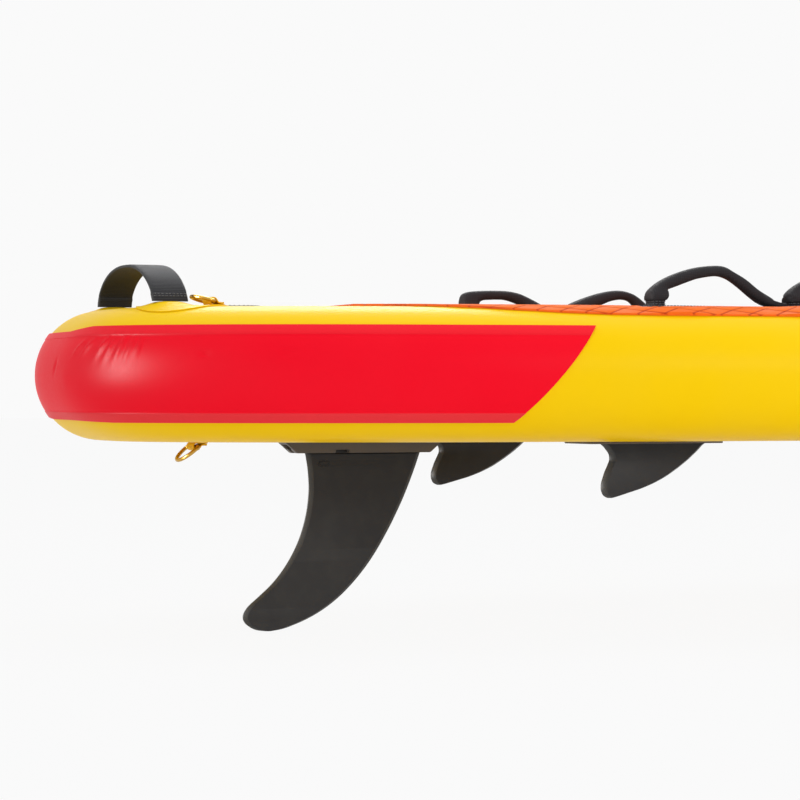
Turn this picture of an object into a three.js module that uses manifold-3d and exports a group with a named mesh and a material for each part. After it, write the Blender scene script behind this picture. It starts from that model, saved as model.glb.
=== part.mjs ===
// Inflatable lifeguard rescue board, in millimetres.
// +X points to the nose, +Y to port and +Z up. The origin is on the flat underside, at mid-length.
import * as THREE from "three";
import { mergeVertices } from "three/addons/utils/BufferGeometryUtils.js";
import Module from "manifold-3d";

const wasm = await Module();
wasm.setup();

// Hull: plan outline, thickness and the lift of the nose
const HULL_LENGTH = 3200;
const HULL_WIDTH = 840;
const HULL_THICKNESS = 150;
const TAIL_LENGTHWISE_POWER = 2.2;
const TAIL_CROSSWISE_POWER = 2.83;
const NOSE_LENGTHWISE_POWER = 2;
const NOSE_CROSSWISE_POWER = 2.15;
const ROCKER_LENGTH = 1200;
const ROCKER_HEIGHT = 180;

// Facets of the hull's outline and rail
const TAIL_STATIONS = 13;
const NOSE_STATIONS = 14;
const RAIL_FACETS = 8;
const ROCKER_STATIONS = 12;

// Skins, glue and patches
const SKIN_THICKNESS = 1.5;
const GLUE_GAP = 0.3;
const SEAM_SETBACK = 33;
const PATCH_THICKNESS = 1.2;
const CUT_OVERRUN = 30;
const SEAT_REACH = 20;
const MERGE_DISTANCE = 0.001;

// Protective band round each end of the rail
const RAIL_PATCH_EDGE_SETBACK = 22;
const RAIL_PATCH_TOP_LENGTH = 526;
const RAIL_PATCH_BOTTOM_LENGTH = 435;

// Foam deck pad
const PAD_THICKNESS = 2.5;
const PAD_RAIL_MARGIN = 38;
const PAD_TAIL_SETBACK = 290;
const PAD_NOSE_SETBACK = 560;
const PAD_CORNER_LENGTH = 300;
const PAD_CORNER_MARGIN = 90;
const PAD_CORNER_STEPS = 5;
const PAD_CUTOUT_CLEARANCE = 4;

// Rows of grab handles along both sides, set in pairs
const GRAB_ROW_SETBACK = 145;
const GRAB_FIRST_SETBACK = 615;
const GRAB_ROW_FORE_MARGIN = 35;
const GRAB_HANDLE_PAIRS = 3;
const GRAB_PAIR_GAP_SHARE = 0.75;
const GRAB_CROWN_HEIGHT = 45.7;
const GRAB_WEBBING_WIDTH = 24;
const GRAB_STRIP_WIDTH = 44;
const GRAB_STRIP_THICKNESS = 2;
const GRAB_STRIP_END_MARGIN = 14;
const GRAB_SECTION_SIDES = 8;

// Each station of a grab handle: its upper and its lower edge, as shares of the pitch and the crown
// height, and its width as a share of the webbing's
const GRAB_STATION_SHARES = [
  [0.0, 0.0, 0.133, 0.0, 0.25],
  [0.0, 0.25, 0.147, 0.22, 0.28],
  [0.025, 0.39, 0.15, 0.32, 0.35],
  [0.1, 0.6, 0.153, 0.41, 0.55],
  [0.21, 0.79, 0.239, 0.52, 0.67],
  [0.344, 0.937, 0.361, 0.663, 0.67],
  [0.472, 1.0, 0.472, 0.733, 0.67],
  [0.556, 0.985, 0.533, 0.726, 0.67],
  [0.628, 0.853, 0.594, 0.652, 0.67],
  [0.711, 0.68, 0.671, 0.473, 0.7],
  [0.8, 0.427, 0.766, 0.223, 0.78],
  [0.894, 0.225, 0.861, 0.052, 0.9],
  [0.989, 0.11, 0.989, 0.0, 1.0],
];

// Webbing arches at the tail and the nose, and the domed patches that hold their feet
const END_HANDLE_TAIL_SETBACK = 108.5;
const END_HANDLE_NOSE_MARGIN = 43.7;
const END_HANDLE_SPAN = 214;
const END_HANDLE_RISE = 41.2;
const END_HANDLE_WIDTH = 41;
const WEBBING_THICKNESS = 4;
const FOLDED_FOOT_THICKNESS = 7;
const ARCH_SPAN_POWER = 2.3;
const ARCH_RISE_POWER = 1.8;
const ARCH_STATIONS = 16;
const ARCH_FOOT_STATIONS = 2;
const FOOT_PATCH_RADIUS = 52;
const FOOT_PATCH_LEAD = 16.5;
const FOOT_DOME_BASE_RADIUS = 35;
const FOOT_DOME_TOP_RADIUS = 25;
const FOOT_DOME_HEIGHT = 8;
const ROUND_SEGMENTS = 24;

// Carry handle at mid-length, with its soft grip
const CARRY_SPAN = 200;
const CARRY_RISE = 44;
const CARRY_WIDTH = 38;
const CARRY_GRIP_WIDTH = 50;
const CARRY_GRIP_THICKNESS = 16;
const CARRY_GRIP_ARC_SHARE = 0.5;
const CARRY_PATCH_LENGTH = 270;
const CARRY_PATCH_WIDTH = 84;

// Steel D-rings and the webbing tabs that hold them
const RING_WIRE = 5;
const RING_INNER_WIDTH = 30;
const RING_DEPTH = 24;
const RING_CORNER_RADIUS = 5;
const RING_WIRE_SIDES = 8;
const RING_ARC_STEPS = 10;
const RING_CORNER_STEPS = 2;
const TAB_WIDTH = 25;
const TAB_WALL = 2;
const TAB_BORE_CLEARANCE = 0.6;
const TAB_TAIL_LENGTH = 13;
const TAB_TAIL_THICKNESS = 1.8;
const DECK_RING_OFFSET = 48.5;
const DECK_RING_ANGLE = 14;
const DECK_RING_FLOPPED_ANGLE = 160;
const TOW_RING_SETBACK = 172;
const TOW_RING_ANGLE = 40;
const TOW_RING_INNER_WIDTH = 36;
const TOW_RING_DEPTH = 27;
const NOSE_RING_SETBACK = 290;
const RING_PATCH_RADIUS = 42;

// Inflation valve on the deck, and the pocket it sits in
const VALVE_TAIL_SETBACK = 225;
const VALVE_TUBE_RADIUS = 19;
const VALVE_TUBE_WALL = 3;
const VALVE_TUBE_DEPTH = 26;
const VALVE_FLANGE_RADIUS = 30;
const VALVE_FLANGE_THICKNESS = 1.8;
const VALVE_GASKET_THICKNESS = 0.8;
const VALVE_NUT_THICKNESS = 6;
const VALVE_SEAT_DEPTH = 8;
const VALVE_SEAT_THICKNESS = 4;
const VALVE_VENT_RADIUS = 3.2;
const VALVE_VENT_CIRCLE = 9;
const VALVE_VENTS = 5;
const VALVE_VENT_SEGMENTS = 10;
const POPPET_DISC_RADIUS = 13.5;
const POPPET_DISC_THICKNESS = 3;
const POPPET_STEM_RADIUS = 2.4;
const POPPET_BUTTON_RADIUS = 6.5;
const POPPET_BUTTON_THICKNESS = 2;
const POPPET_RISE = 1.8;
const SPRING_WIRE = 0.9;
const SPRING_RADIUS = 4.6;
const SPRING_CURLS = 3;
const SPRING_STEPS_PER_CURL = 8;
const SPRING_WIRE_SIDES = 5;
const VALVE_RUNNING_GAP = 0.5;
const VALVE_CAP_RADIUS = 27;
const VALVE_CAP_THICKNESS = 2.4;
const VALVE_CAP_SKIRT = 2;

// Fin box under the tail, and the fin that slides into it from aft
const FIN_BOX_TAIL_SETBACK = 279;
const FIN_BOX_LENGTH = 203;
const FIN_BOX_WIDTH = 28;
const FIN_BOX_HEIGHT = 14.2;
const FIN_BOX_END_SLOPE = 16.5;
const FIN_BOX_FLANGE_MARGIN = 16;
const FIN_SLOT_CLEARANCE = 0.4;
const FIN_HEAD_WIDTH = 16;
const FIN_HEAD_HEIGHT = 4;
const FIN_NECK_HEIGHT = 6;
const FIN_NOTCH_LENGTH = 17;
const FIN_NOTCH_HEIGHT = 4;
const FIN_NOTCH_OFFSET = 41.3;
const FIN_BOX_AFT_LEAD = 32;
const FIN_CHORD = 144;
const FIN_DEPTH = 207;
const FIN_THICKNESS = 8;
const FIN_EDGE_CHAMFER = 5;
const FIN_EDGE_THICKNESS = 2;
const BLADE_FLANK_SHARE = 0.35;
const FIN_BUTTON_LENGTH = 13;
const FIN_BUTTON_HEIGHT = 6;
const FIN_BUTTON_DEPTH = 3;
const FIN_BUTTON_TRAVEL = 1.5;
const FIN_BUTTON_OFFSET = 21;
const FIN_BUTTON_DROP = 12;

// Sections of the centre fin from the root down: the drop as a share of the depth, then the aft and
// the fore edge as shares of the chord
const FIN_SECTION_SHARES = [
  [0.0, 0.0, 1.0],
  [0.083, 0.021, 0.969],
  [0.217, 0.028, 0.893],
  [0.285, 0.014, 0.844],
  [0.353, 0.0, 0.803],
  [0.42, -0.03, 0.742],
  [0.488, -0.064, 0.69],
  [0.556, -0.106, 0.63],
  [0.623, -0.17, 0.563],
  [0.691, -0.238, 0.483],
  [0.758, -0.333, 0.394],
  [0.821, -0.442, 0.295],
  [0.87, -0.521, 0.206],
  [0.92, -0.559, 0.076],
  [0.957, -0.545, -0.034],
  [0.981, -0.505, -0.138],
  [1.0, -0.4, -0.28],
];

// Small side fins, each moulded with a base plate
const SIDE_FIN_SETBACK = 576;
const SIDE_FIN_RAIL_SETBACK = 180;
const SIDE_FIN_CHORD = 142;
const SIDE_FIN_DEPTH = 62.5;
const SIDE_FIN_THICKNESS = 12;
const SIDE_FIN_EDGE_CHAMFER = 5;
const SIDE_FIN_EDGE_THICKNESS = 3;
const SIDE_FIN_TOE_IN = 3;
const SIDE_FIN_PLATE_THICKNESS = 2.4;
const SIDE_FIN_PLATE_AFT_MARGIN = 29;
const SIDE_FIN_PLATE_FORE_MARGIN = 3;
const SIDE_FIN_PLATE_WIDTH = 62;

// Sections of a side fin, given in the same way
const SIDE_FIN_SECTION_SHARES = [
  [0.0, 0.0, 1.0],
  [0.071, 0.042, 0.945],
  [0.145, 0.076, 0.917],
  [0.22, 0.091, 0.869],
  [0.3, 0.081, 0.832],
  [0.372, 0.07, 0.782],
  [0.446, 0.049, 0.738],
  [0.52, 0.035, 0.687],
  [0.595, 0.025, 0.63],
  [0.669, 0.014, 0.564],
  [0.744, 0.007, 0.492],
  [0.818, 0.007, 0.4],
  [0.894, 0.018, 0.29],
  [0.955, 0.042, 0.175],
  [1.0, 0.07, 0.11],
];

// Places that follow from the sizes above
const HALF_LENGTH = HULL_LENGTH / 2;
const HALF_WIDTH = HULL_WIDTH / 2;
const RAIL_RADIUS = HULL_THICKNESS / 2;
const ROCKER_START = HALF_LENGTH - ROCKER_LENGTH;
const PATCH_TOP = GLUE_GAP + PATCH_THICKNESS;
const ON_PATCH = PATCH_TOP + GLUE_GAP;
const GRAB_ROW_Y = HALF_WIDTH - GRAB_ROW_SETBACK;
const GRAB_FIRST_X = -HALF_LENGTH + GRAB_FIRST_SETBACK;
const GRAB_ROW_END_X = ROCKER_START - GRAB_ROW_FORE_MARGIN;
const GRAB_PAIR_PITCHES = 2 + GRAB_PAIR_GAP_SHARE;
const GRAB_ROW_PITCHES = GRAB_HANDLE_PAIRS * GRAB_PAIR_PITCHES - GRAB_PAIR_GAP_SHARE;
const GRAB_PITCH = (GRAB_ROW_END_X - GRAB_FIRST_X) / GRAB_ROW_PITCHES;
const TAIL_HANDLE_X = -HALF_LENGTH + END_HANDLE_TAIL_SETBACK;
const END_HANDLE_FOOT_Y = (END_HANDLE_SPAN - FOLDED_FOOT_THICKNESS) / 2;
const NOSE_HANDLE_ROOM = END_HANDLE_FOOT_Y + FOOT_PATCH_RADIUS + END_HANDLE_NOSE_MARGIN;
const NOSE_NARROWING = 1 - (NOSE_HANDLE_ROOM / HALF_WIDTH) ** NOSE_CROSSWISE_POWER;
const NOSE_HANDLE_X = HALF_LENGTH * NOSE_NARROWING ** (1 / NOSE_LENGTHWISE_POWER);
const VALVE_X = -HALF_LENGTH + VALVE_TAIL_SETBACK;
const FIN_BOX_AFT_X = -HALF_LENGTH + FIN_BOX_TAIL_SETBACK;
const FIN_AFT_X = FIN_BOX_AFT_X + FIN_BOX_AFT_LEAD;
const FIN_BOX_BOTTOM_Z = -ON_PATCH - FIN_BOX_HEIGHT;
const PORT = 1;
const STARBOARD = -1;

const finish = (color, roughness, metalness = 0) =>
  new THREE.MeshStandardMaterial({ color, roughness, metalness });

const YELLOW_PVC = finish(0xffd800, 0.35);
const RED_PVC = finish(0xff1a30, 0.4);
const ORANGE_FOAM = finish(0xff6e32, 0.8);
const BLACK_WEBBING = finish(0x3a3a3c, 0.85);
const PADDED_SLEEVE = finish(0x46444a, 0.8);
const CORE_FABRIC = finish(0xe8e4d8, 0.9);
const BLADE_PLASTIC = finish(0x23201e, 0.45);
const BOX_PLASTIC = finish(0x57524f, 0.5);
const VALVE_PLASTIC = finish(0x2a2b2e, 0.4);
const STEEL = finish(0xc9c9c4, 0.2, 1);
const GASKET_RUBBER = finish(0x1a1a1a, 0.9);

// A solid from a closed geometry, with its shared vertices merged
function solidOf(geometry) {
  const bare = new THREE.BufferGeometry();
  bare.setAttribute("position", geometry.getAttribute("position"));
  bare.setIndex(geometry.getIndex());
  const merged = mergeVertices(bare, MERGE_DISTANCE);
  const shape = new wasm.Mesh({
    numProp: 3,
    vertProperties: new Float32Array(merged.getAttribute("position").array),
    triVerts: new Uint32Array(merged.getIndex().array),
  });
  return new wasm.Manifold(shape);
}

// A geometry with flat facets from a solid
function geometryOf(solid) {
  const shape = solid.getMesh();
  const geometry = new THREE.BufferGeometry();
  const places = new Float32Array(shape.numVert * 3);
  for (let i = 0; i < shape.numVert; i++) {
    for (let axis = 0; axis < 3; axis++) {
      places[i * 3 + axis] = shape.vertProperties[i * shape.numProp + axis];
    }
  }
  geometry.setAttribute("position", new THREE.BufferAttribute(places, 3));
  geometry.setIndex(new THREE.BufferAttribute(new Uint32Array(shape.triVerts), 1));
  return geometry.toNonIndexed();
}

function namedMesh(name, shape, material) {
  const geometry = shape.isBufferGeometry ? shape : geometryOf(shape);
  geometry.computeVertexNormals();
  const mesh = new THREE.Mesh(geometry, material);
  mesh.name = name;
  return mesh;
}

// The same closed geometry with every face turned round if it encloses a negative volume
function facingOut(geometry) {
  const place = geometry.getAttribute("position");
  const index = geometry.getIndex().array;
  const [a, b, c] = [new THREE.Vector3(), new THREE.Vector3(), new THREE.Vector3()];
  let volume = 0;
  for (let i = 0; i < index.length; i += 3) {
    a.fromBufferAttribute(place, index[i]);
    b.fromBufferAttribute(place, index[i + 1]);
    c.fromBufferAttribute(place, index[i + 2]);
    volume += a.dot(b.cross(c));
  }
  if (volume < 0) {
    for (let i = 0; i < index.length; i += 3) {
      [index[i + 1], index[i + 2]] = [index[i + 2], index[i + 1]];
    }
  }
  return geometry;
}

// A closed geometry through rings of points with equal counts: end to end with flat caps, or in a loop
function loft(rings, isLoop = false) {
  const sides = rings[0].length;
  const places = rings.flat().flatMap((point) => [point.x, point.y, point.z]);
  const faces = [];
  const spans = isLoop ? rings.length : rings.length - 1;
  for (let i = 0; i < spans; i++) {
    const here = i * sides;
    const next = ((i + 1) % rings.length) * sides;
    for (let j = 0; j < sides; j++) {
      const k = (j + 1) % sides;
      faces.push(here + j, next + j, next + k, here + j, next + k, here + k);
    }
  }
  if (!isLoop) {
    const last = (rings.length - 1) * sides;
    for (let j = 1; j < sides - 1; j++) {
      faces.push(0, j, j + 1, last, last + j + 1, last + j);
    }
  }
  const geometry = new THREE.BufferGeometry();
  geometry.setAttribute("position", new THREE.Float32BufferAttribute(places, 3));
  geometry.setIndex(faces);
  return facingOut(geometry);
}

// A plate drawn in the lengthwise plane, X along and Z up, and centred on a place across the board
function lengthwisePlate(points, width, middleY = 0) {
  const isShape = points instanceof THREE.Shape;
  const shape = isShape ? points : new THREE.Shape(points.map(([x, z]) => new THREE.Vector2(x, z)));
  const geometry = new THREE.ExtrudeGeometry(shape, { depth: width, bevelEnabled: false });
  geometry.rotateX(Math.PI / 2);
  geometry.translate(0, middleY + width / 2, 0);
  return solidOf(geometry);
}

// A block between two levels, drawn in plan
function planBlock(points, low, high) {
  const shape = new THREE.Shape(points.map(([x, y]) => new THREE.Vector2(x, y)));
  const geometry = new THREE.ExtrudeGeometry(shape, { depth: high - low, bevelEnabled: false });
  geometry.translate(0, 0, low);
  return solidOf(geometry);
}

function box(lengthX, lengthY, lengthZ, middleX, middleY, middleZ) {
  const geometry = new THREE.BoxGeometry(lengthX, lengthY, lengthZ);
  geometry.translate(middleX, middleY, middleZ);
  return solidOf(geometry);
}

// A turned piece about its own Z axis, from pairs of radius and height
function turned(profile, segments = ROUND_SEGMENTS) {
  const points = profile.map(([radius, height]) => new THREE.Vector2(radius, height));
  const geometry = new THREE.LatheGeometry(points, segments);
  geometry.rotateX(Math.PI / 2);
  return solidOf(facingOut(mergedOf(geometry)));
}

function mergedOf(geometry) {
  geometry.deleteAttribute("normal");
  geometry.deleteAttribute("uv");
  return mergeVertices(geometry, MERGE_DISTANCE);
}

function cylinder(radius, low, high) {
  return turned([[0, low], [radius, low], [radius, high], [0, high]]);
}

function ring(innerRadius, outerRadius, low, high) {
  return turned([
    [innerRadius, low],
    [outerRadius, low],
    [outerRadius, high],
    [innerRadius, high],
    [innerRadius, low],
  ]);
}

// Lift of the board's bottom at a place along it
function rocker(x) {
  const reach = Math.max(0, x - ROCKER_START) / ROCKER_LENGTH;
  return ROCKER_HEIGHT * reach ** 2;
}

// Half the hull's width at a place along it
function halfWidthAt(x) {
  const [lengthwise, crosswise] =
    x < 0
      ? [TAIL_LENGTHWISE_POWER, TAIL_CROSSWISE_POWER]
      : [NOSE_LENGTHWISE_POWER, NOSE_CROSSWISE_POWER];
  const along = Math.min(1, Math.abs(x) / HALF_LENGTH);
  return HALF_WIDTH * (1 - along ** lengthwise) ** (1 / crosswise);
}

// The outline's points and outward normals, on the port side from the tail's middle to the nose's
function halfOutline() {
  const stations = [];
  const add = (angle, direction, lengthwise, crosswise) => {
    const x = direction * HALF_LENGTH * Math.cos(angle) ** (2 / lengthwise);
    const y = HALF_WIDTH * Math.sin(angle) ** (2 / crosswise);
    const steepX = (lengthwise * (Math.abs(x) / HALF_LENGTH) ** (lengthwise - 1)) / HALF_LENGTH;
    const steepY = (crosswise * (y / HALF_WIDTH) ** (crosswise - 1)) / HALF_WIDTH;
    const normal = new THREE.Vector2(direction * steepX, steepY).normalize();
    stations.push({ x, y, normal });
  };
  const quarter = Math.PI / 2;
  for (let i = 0; i < TAIL_STATIONS; i++) {
    add((quarter * i) / TAIL_STATIONS, -1, TAIL_LENGTHWISE_POWER, TAIL_CROSSWISE_POWER);
  }
  for (let i = NOSE_STATIONS; i >= 0; i--) {
    add((quarter * i) / NOSE_STATIONS, 1, NOSE_LENGTHWISE_POWER, NOSE_CROSSWISE_POWER);
  }
  return stations;
}

// The whole outline as a loop: port from tail to nose, then starboard back
function fullOutline() {
  const port = halfOutline();
  const starboard = port
    .slice(1, -1)
    .reverse()
    .map(({ x, y, normal }) => ({ x, y: -y, normal: new THREE.Vector2(normal.x, -normal.y) }));
  return [...port, ...starboard];
}

const OUTLINE = fullOutline();

// The inflated hull with its whole surface moved in by an inset, or out by a negative one
function hullSolid(inset) {
  const radius = RAIL_RADIUS - inset;
  const count = OUTLINE.length;
  const places = [];
  for (let level = 0; level <= RAIL_FACETS; level++) {
    const angle = Math.PI * (level / RAIL_FACETS - 1 / 2);
    const inward = inset + radius * (1 - Math.cos(angle));
    for (const { x, y, normal } of OUTLINE) {
      const placeX = x - normal.x * inward;
      const placeZ = RAIL_RADIUS + radius * Math.sin(angle) + rocker(placeX);
      places.push(placeX, y - normal.y * inward, placeZ);
    }
  }
  const faces = [];
  for (let level = 0; level < RAIL_FACETS; level++) {
    for (let i = 0; i < count; i++) {
      const low = level * count;
      const high = low + count;
      const j = (i + 1) % count;
      faces.push(low + i, high + j, low + j, low + i, high + i, high + j);
    }
  }
  const top = RAIL_FACETS * count;
  for (let i = 0; i < count / 2; i++) {
    const [a, b] = [i, i + 1];
    const [c, d] = [(count - i - 1) % count, (count - i) % count];
    if (b !== c) faces.push(a, b, c, top + a, top + c, top + b);
    if (a !== d) faces.push(a, c, d, top + a, top + d, top + c);
  }
  const geometry = new THREE.BufferGeometry();
  geometry.setAttribute("position", new THREE.Float32BufferAttribute(places, 3));
  geometry.setIndex(faces);
  return solidOf(facingOut(geometry));
}

// A layer of the hull's surface, given how far out it starts and how thick it is
function hullLayer(start, thickness) {
  return hullSolid(-start - thickness).subtract(hullSolid(-start));
}

// Everything between two heights above the bottom, following the rocker
function rockerSlab(low, high) {
  const ends = HALF_LENGTH + CUT_OVERRUN;
  const stations = [-ends];
  for (let i = 0; i <= ROCKER_STATIONS; i++) {
    stations.push(ROCKER_START + ((ends - ROCKER_START) * i) / ROCKER_STATIONS);
  }
  const under = stations.map((x) => [x, low + rocker(x)]);
  const over = stations.map((x) => [x, high + rocker(x)]).reverse();
  return lengthwisePlate([...under, ...over], HULL_WIDTH + 2 * CUT_OVERRUN);
}

// Lift of the flat facets between the outline's stations, at a place along the board
const PANEL_STATIONS = halfOutline().map(({ x, normal }) => x - normal.x * RAIL_RADIUS);

function facetLift(x) {
  const next = PANEL_STATIONS.findIndex((station) => station > x);
  if (next < 1) return rocker(x);
  const [aft, fore] = [PANEL_STATIONS[next - 1], PANEL_STATIONS[next]];
  return THREE.MathUtils.lerp(rocker(aft), rocker(fore), (x - aft) / (fore - aft));
}

// Frame whose origin lies on the deck, or under the bottom, with its own +Z pointing away from the hull
function hullFrame(x, y, isUnder = false) {
  const [aft, fore] = [facetLift(x - SEAT_REACH), facetLift(x + SEAT_REACH)];
  const frame = new THREE.Group();
  frame.position.set(x, y, (aft + fore) / 2 + (isUnder ? 0 : HULL_THICKNESS));
  frame.rotation.set(isUnder ? Math.PI : 0, -Math.atan((fore - aft) / (2 * SEAT_REACH)), 0, "YXZ");
  frame.updateMatrix();
  return frame;
}

function placed(solid, frame) {
  return solid.transform(frame.matrix.elements);
}

function dropStitchCore() {
  const depth = VALVE_TUBE_DEPTH + 2 * VALVE_RUNNING_GAP;
  const radius = VALVE_FLANGE_RADIUS + VALVE_RUNNING_GAP;
  const pocket = placed(cylinder(radius, -depth, CUT_OVERRUN), hullFrame(VALVE_X, 0));
  return hullSolid(SKIN_THICKNESS + GLUE_GAP).subtract(pocket);
}

function skinBetween(low, high) {
  const layer = hullSolid(0).subtract(hullSolid(SKIN_THICKNESS));
  return layer.intersect(rockerSlab(low, high));
}

function deckSkin() {
  const low = HULL_THICKNESS - SEAM_SETBACK + GLUE_GAP;
  const hole = cylinder(VALVE_TUBE_RADIUS + GLUE_GAP, -CUT_OVERRUN, CUT_OVERRUN);
  const skin = skinBetween(low, HULL_THICKNESS + CUT_OVERRUN);
  return skin.subtract(placed(hole, hullFrame(VALVE_X, 0)));
}

function railPatch(direction) {
  const [low, high] = [RAIL_PATCH_EDGE_SETBACK, HULL_THICKNESS - RAIL_PATCH_EDGE_SETBACK];
  const end = HALF_LENGTH + CUT_OVERRUN;
  const topX = HALF_LENGTH - RAIL_PATCH_TOP_LENGTH;
  const bottomX = HALF_LENGTH - RAIL_PATCH_BOTTOM_LENGTH;
  const slopeX = (topX - bottomX) / (high - low);
  const reach = CUT_OVERRUN + ROCKER_HEIGHT;
  const outline = [
    [direction * end, -reach],
    [direction * (bottomX - slopeX * (low + reach)), -reach],
    [direction * (topX + slopeX * (HULL_THICKNESS - high + reach)), HULL_THICKNESS + reach],
    [direction * end, HULL_THICKNESS + reach],
  ];
  const window = lengthwisePlate(outline, HULL_WIDTH + 2 * CUT_OVERRUN);
  return hullLayer(GLUE_GAP, PATCH_THICKNESS).intersect(rockerSlab(low, high)).intersect(window);
}

// Half outline of the pad in plan: it keeps a margin to the rail, which grows at its four corners
function padHalfOutline() {
  const aft = -HALF_LENGTH + PAD_TAIL_SETBACK;
  const fore = HALF_LENGTH - PAD_NOSE_SETBACK;
  const [sideAft, sideFore] = [aft + PAD_CORNER_LENGTH, fore - PAD_CORNER_LENGTH];
  const inner = OUTLINE.filter(({ x, y }) => y > 0 && x > sideAft && x < sideFore);
  const corner = (i) => {
    const share = i / PAD_CORNER_STEPS;
    const margin = PAD_RAIL_MARGIN + (PAD_CORNER_MARGIN - PAD_RAIL_MARGIN) * (1 - share) ** 2;
    return { along: share * PAD_CORNER_LENGTH, margin };
  };
  const steps = [...Array(PAD_CORNER_STEPS + 1).keys()].map(corner);
  const aftCorner = steps.map(({ along, margin }) => [aft + along, halfWidthAt(aft + along) - margin]);
  const foreCorner = steps.map(({ along, margin }) => [fore - along, halfWidthAt(fore - along) - margin]);
  const side = inner.map(({ x, y }) => [x, y - PAD_RAIL_MARGIN]);
  return [...aftCorner, ...side, ...foreCorner.reverse()];
}

function planRectangle(aft, fore, low, high) {
  return [[aft, low], [fore, low], [fore, high], [aft, high]];
}

// Plan rectangle under one row of grab handles
function grabStripBounds(side, clearance) {
  const aft = GRAB_FIRST_X - GRAB_STRIP_END_MARGIN - clearance;
  const fore = GRAB_ROW_END_X + GRAB_STRIP_END_MARGIN + clearance;
  const half = GRAB_STRIP_WIDTH / 2 + clearance;
  const middle = side * GRAB_ROW_Y;
  return planRectangle(aft, fore, middle - half, middle + half);
}

function carryPatchBounds(clearance) {
  const halfLength = CARRY_PATCH_LENGTH / 2 + clearance;
  const halfWidth = CARRY_PATCH_WIDTH / 2 + clearance;
  return planRectangle(-halfLength, halfLength, -halfWidth, halfWidth);
}

function deckPad() {
  const port = padHalfOutline();
  const starboard = port.map(([x, y]) => [x, -y]).reverse();
  const high = HULL_THICKNESS + ROCKER_HEIGHT + CUT_OVERRUN;
  const plan = planBlock([...port, ...starboard], RAIL_RADIUS, high);
  let pad = hullLayer(GLUE_GAP, PAD_THICKNESS).intersect(plan);
  for (const bounds of [
    grabStripBounds(PORT, PAD_CUTOUT_CLEARANCE),
    grabStripBounds(STARBOARD, PAD_CUTOUT_CLEARANCE),
    carryPatchBounds(PAD_CUTOUT_CLEARANCE),
  ]) {
    pad = pad.subtract(planBlock(bounds, RAIL_RADIUS, high));
  }
  return pad;
}

// A thin patch that follows the hull's surface, cut to an upright block drawn in plan
function deckPatch(bounds, thickness) {
  const window = planBlock(bounds, RAIL_RADIUS, HULL_THICKNESS + ROCKER_HEIGHT + CUT_OVERRUN);
  return hullLayer(GLUE_GAP, thickness).intersect(window);
}

function roundPatch(radius, frame) {
  const window = placed(cylinder(radius, -RAIL_RADIUS, CUT_OVERRUN), frame);
  return hullLayer(GLUE_GAP, PATCH_THICKNESS).intersect(window);
}

// A round patch with a dome under the handle's foot, where the folded webbing under it lifts it
function domedPatch(x, lead, y) {
  const frame = hullFrame(x, y);
  const dome = turned([
    [0, -RAIL_RADIUS],
    [FOOT_DOME_BASE_RADIUS, -RAIL_RADIUS],
    [FOOT_DOME_BASE_RADIUS, PATCH_TOP],
    [FOOT_DOME_TOP_RADIUS, FOOT_DOME_HEIGHT],
    [0, FOOT_DOME_HEIGHT],
  ]);
  const lifted = placed(dome, frame).subtract(hullSolid(-GLUE_GAP));
  return roundPatch(FOOT_PATCH_RADIUS, hullFrame(x + lead, y)).add(lifted);
}

// Stations of an arch in its own plane: each has its outer place and the direction outwards
function archStations(span, rise, from, to) {
  const stations = [];
  for (let i = 0; i <= ARCH_STATIONS; i++) {
    const angle = from + ((to - from) * i) / ARCH_STATIONS;
    const [cosine, sine] = [Math.cos(angle), Math.max(0, Math.sin(angle))];
    const across = (span / 2) * Math.sign(cosine) * Math.abs(cosine) ** (2 / ARCH_SPAN_POWER);
    const up = rise * sine ** (2 / ARCH_RISE_POWER);
    const steepAcross = Math.sign(across) * Math.abs((2 * across) / span) ** (ARCH_SPAN_POWER - 1);
    const steepUp = (up / rise) ** (ARCH_RISE_POWER - 1);
    const normal = new THREE.Vector2(
      (ARCH_SPAN_POWER * 2 * steepAcross) / span,
      (ARCH_RISE_POWER * steepUp) / rise,
    ).normalize();
    stations.push({ across, up, normal });
  }
  return stations;
}

// A flat band bent over an arch, as wide as given, with extra thickness where its feet are folded
function archBand({ span, rise, width, inward, outward = 0, footInward = inward, ...options }) {
  const { isLengthwise = false, arc = 1 } = options;
  const from = (Math.PI * (1 - arc)) / 2;
  const stations = archStations(span, rise, from, Math.PI - from);
  const rings = stations.map(({ across, up, normal }, i) => {
    const isFoot = Math.min(i, ARCH_STATIONS - i) < ARCH_FOOT_STATIONS;
    const deep = isFoot ? footInward : inward;
    const outer = [across + normal.x * outward, up + normal.y * outward];
    const inner = [across - normal.x * deep, Math.max(0, up - normal.y * deep)];
    const corner = ([place, height], side) =>
      isLengthwise
        ? new THREE.Vector3(place, (side * width) / 2, height)
        : new THREE.Vector3((side * width) / 2, place, height);
    return [corner(outer, 1), corner(outer, -1), corner(inner, -1), corner(inner, 1)];
  });
  return solidOf(loft(rings));
}

function endHandle(frame) {
  const band = archBand({
    span: END_HANDLE_SPAN,
    rise: END_HANDLE_RISE,
    width: END_HANDLE_WIDTH,
    inward: WEBBING_THICKNESS,
    footInward: FOLDED_FOOT_THICKNESS,
  });
  return placed(band.translate([0, 0, FOOT_DOME_HEIGHT + GLUE_GAP]), frame);
}

const CARRY_FRAME = hullFrame(0, 0);

function carryStrap() {
  const strap = archBand({
    span: CARRY_SPAN,
    rise: CARRY_RISE,
    width: CARRY_WIDTH,
    inward: WEBBING_THICKNESS,
    footInward: FOLDED_FOOT_THICKNESS,
    isLengthwise: true,
  });
  return placed(strap.translate([0, 0, ON_PATCH]), CARRY_FRAME);
}

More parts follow.
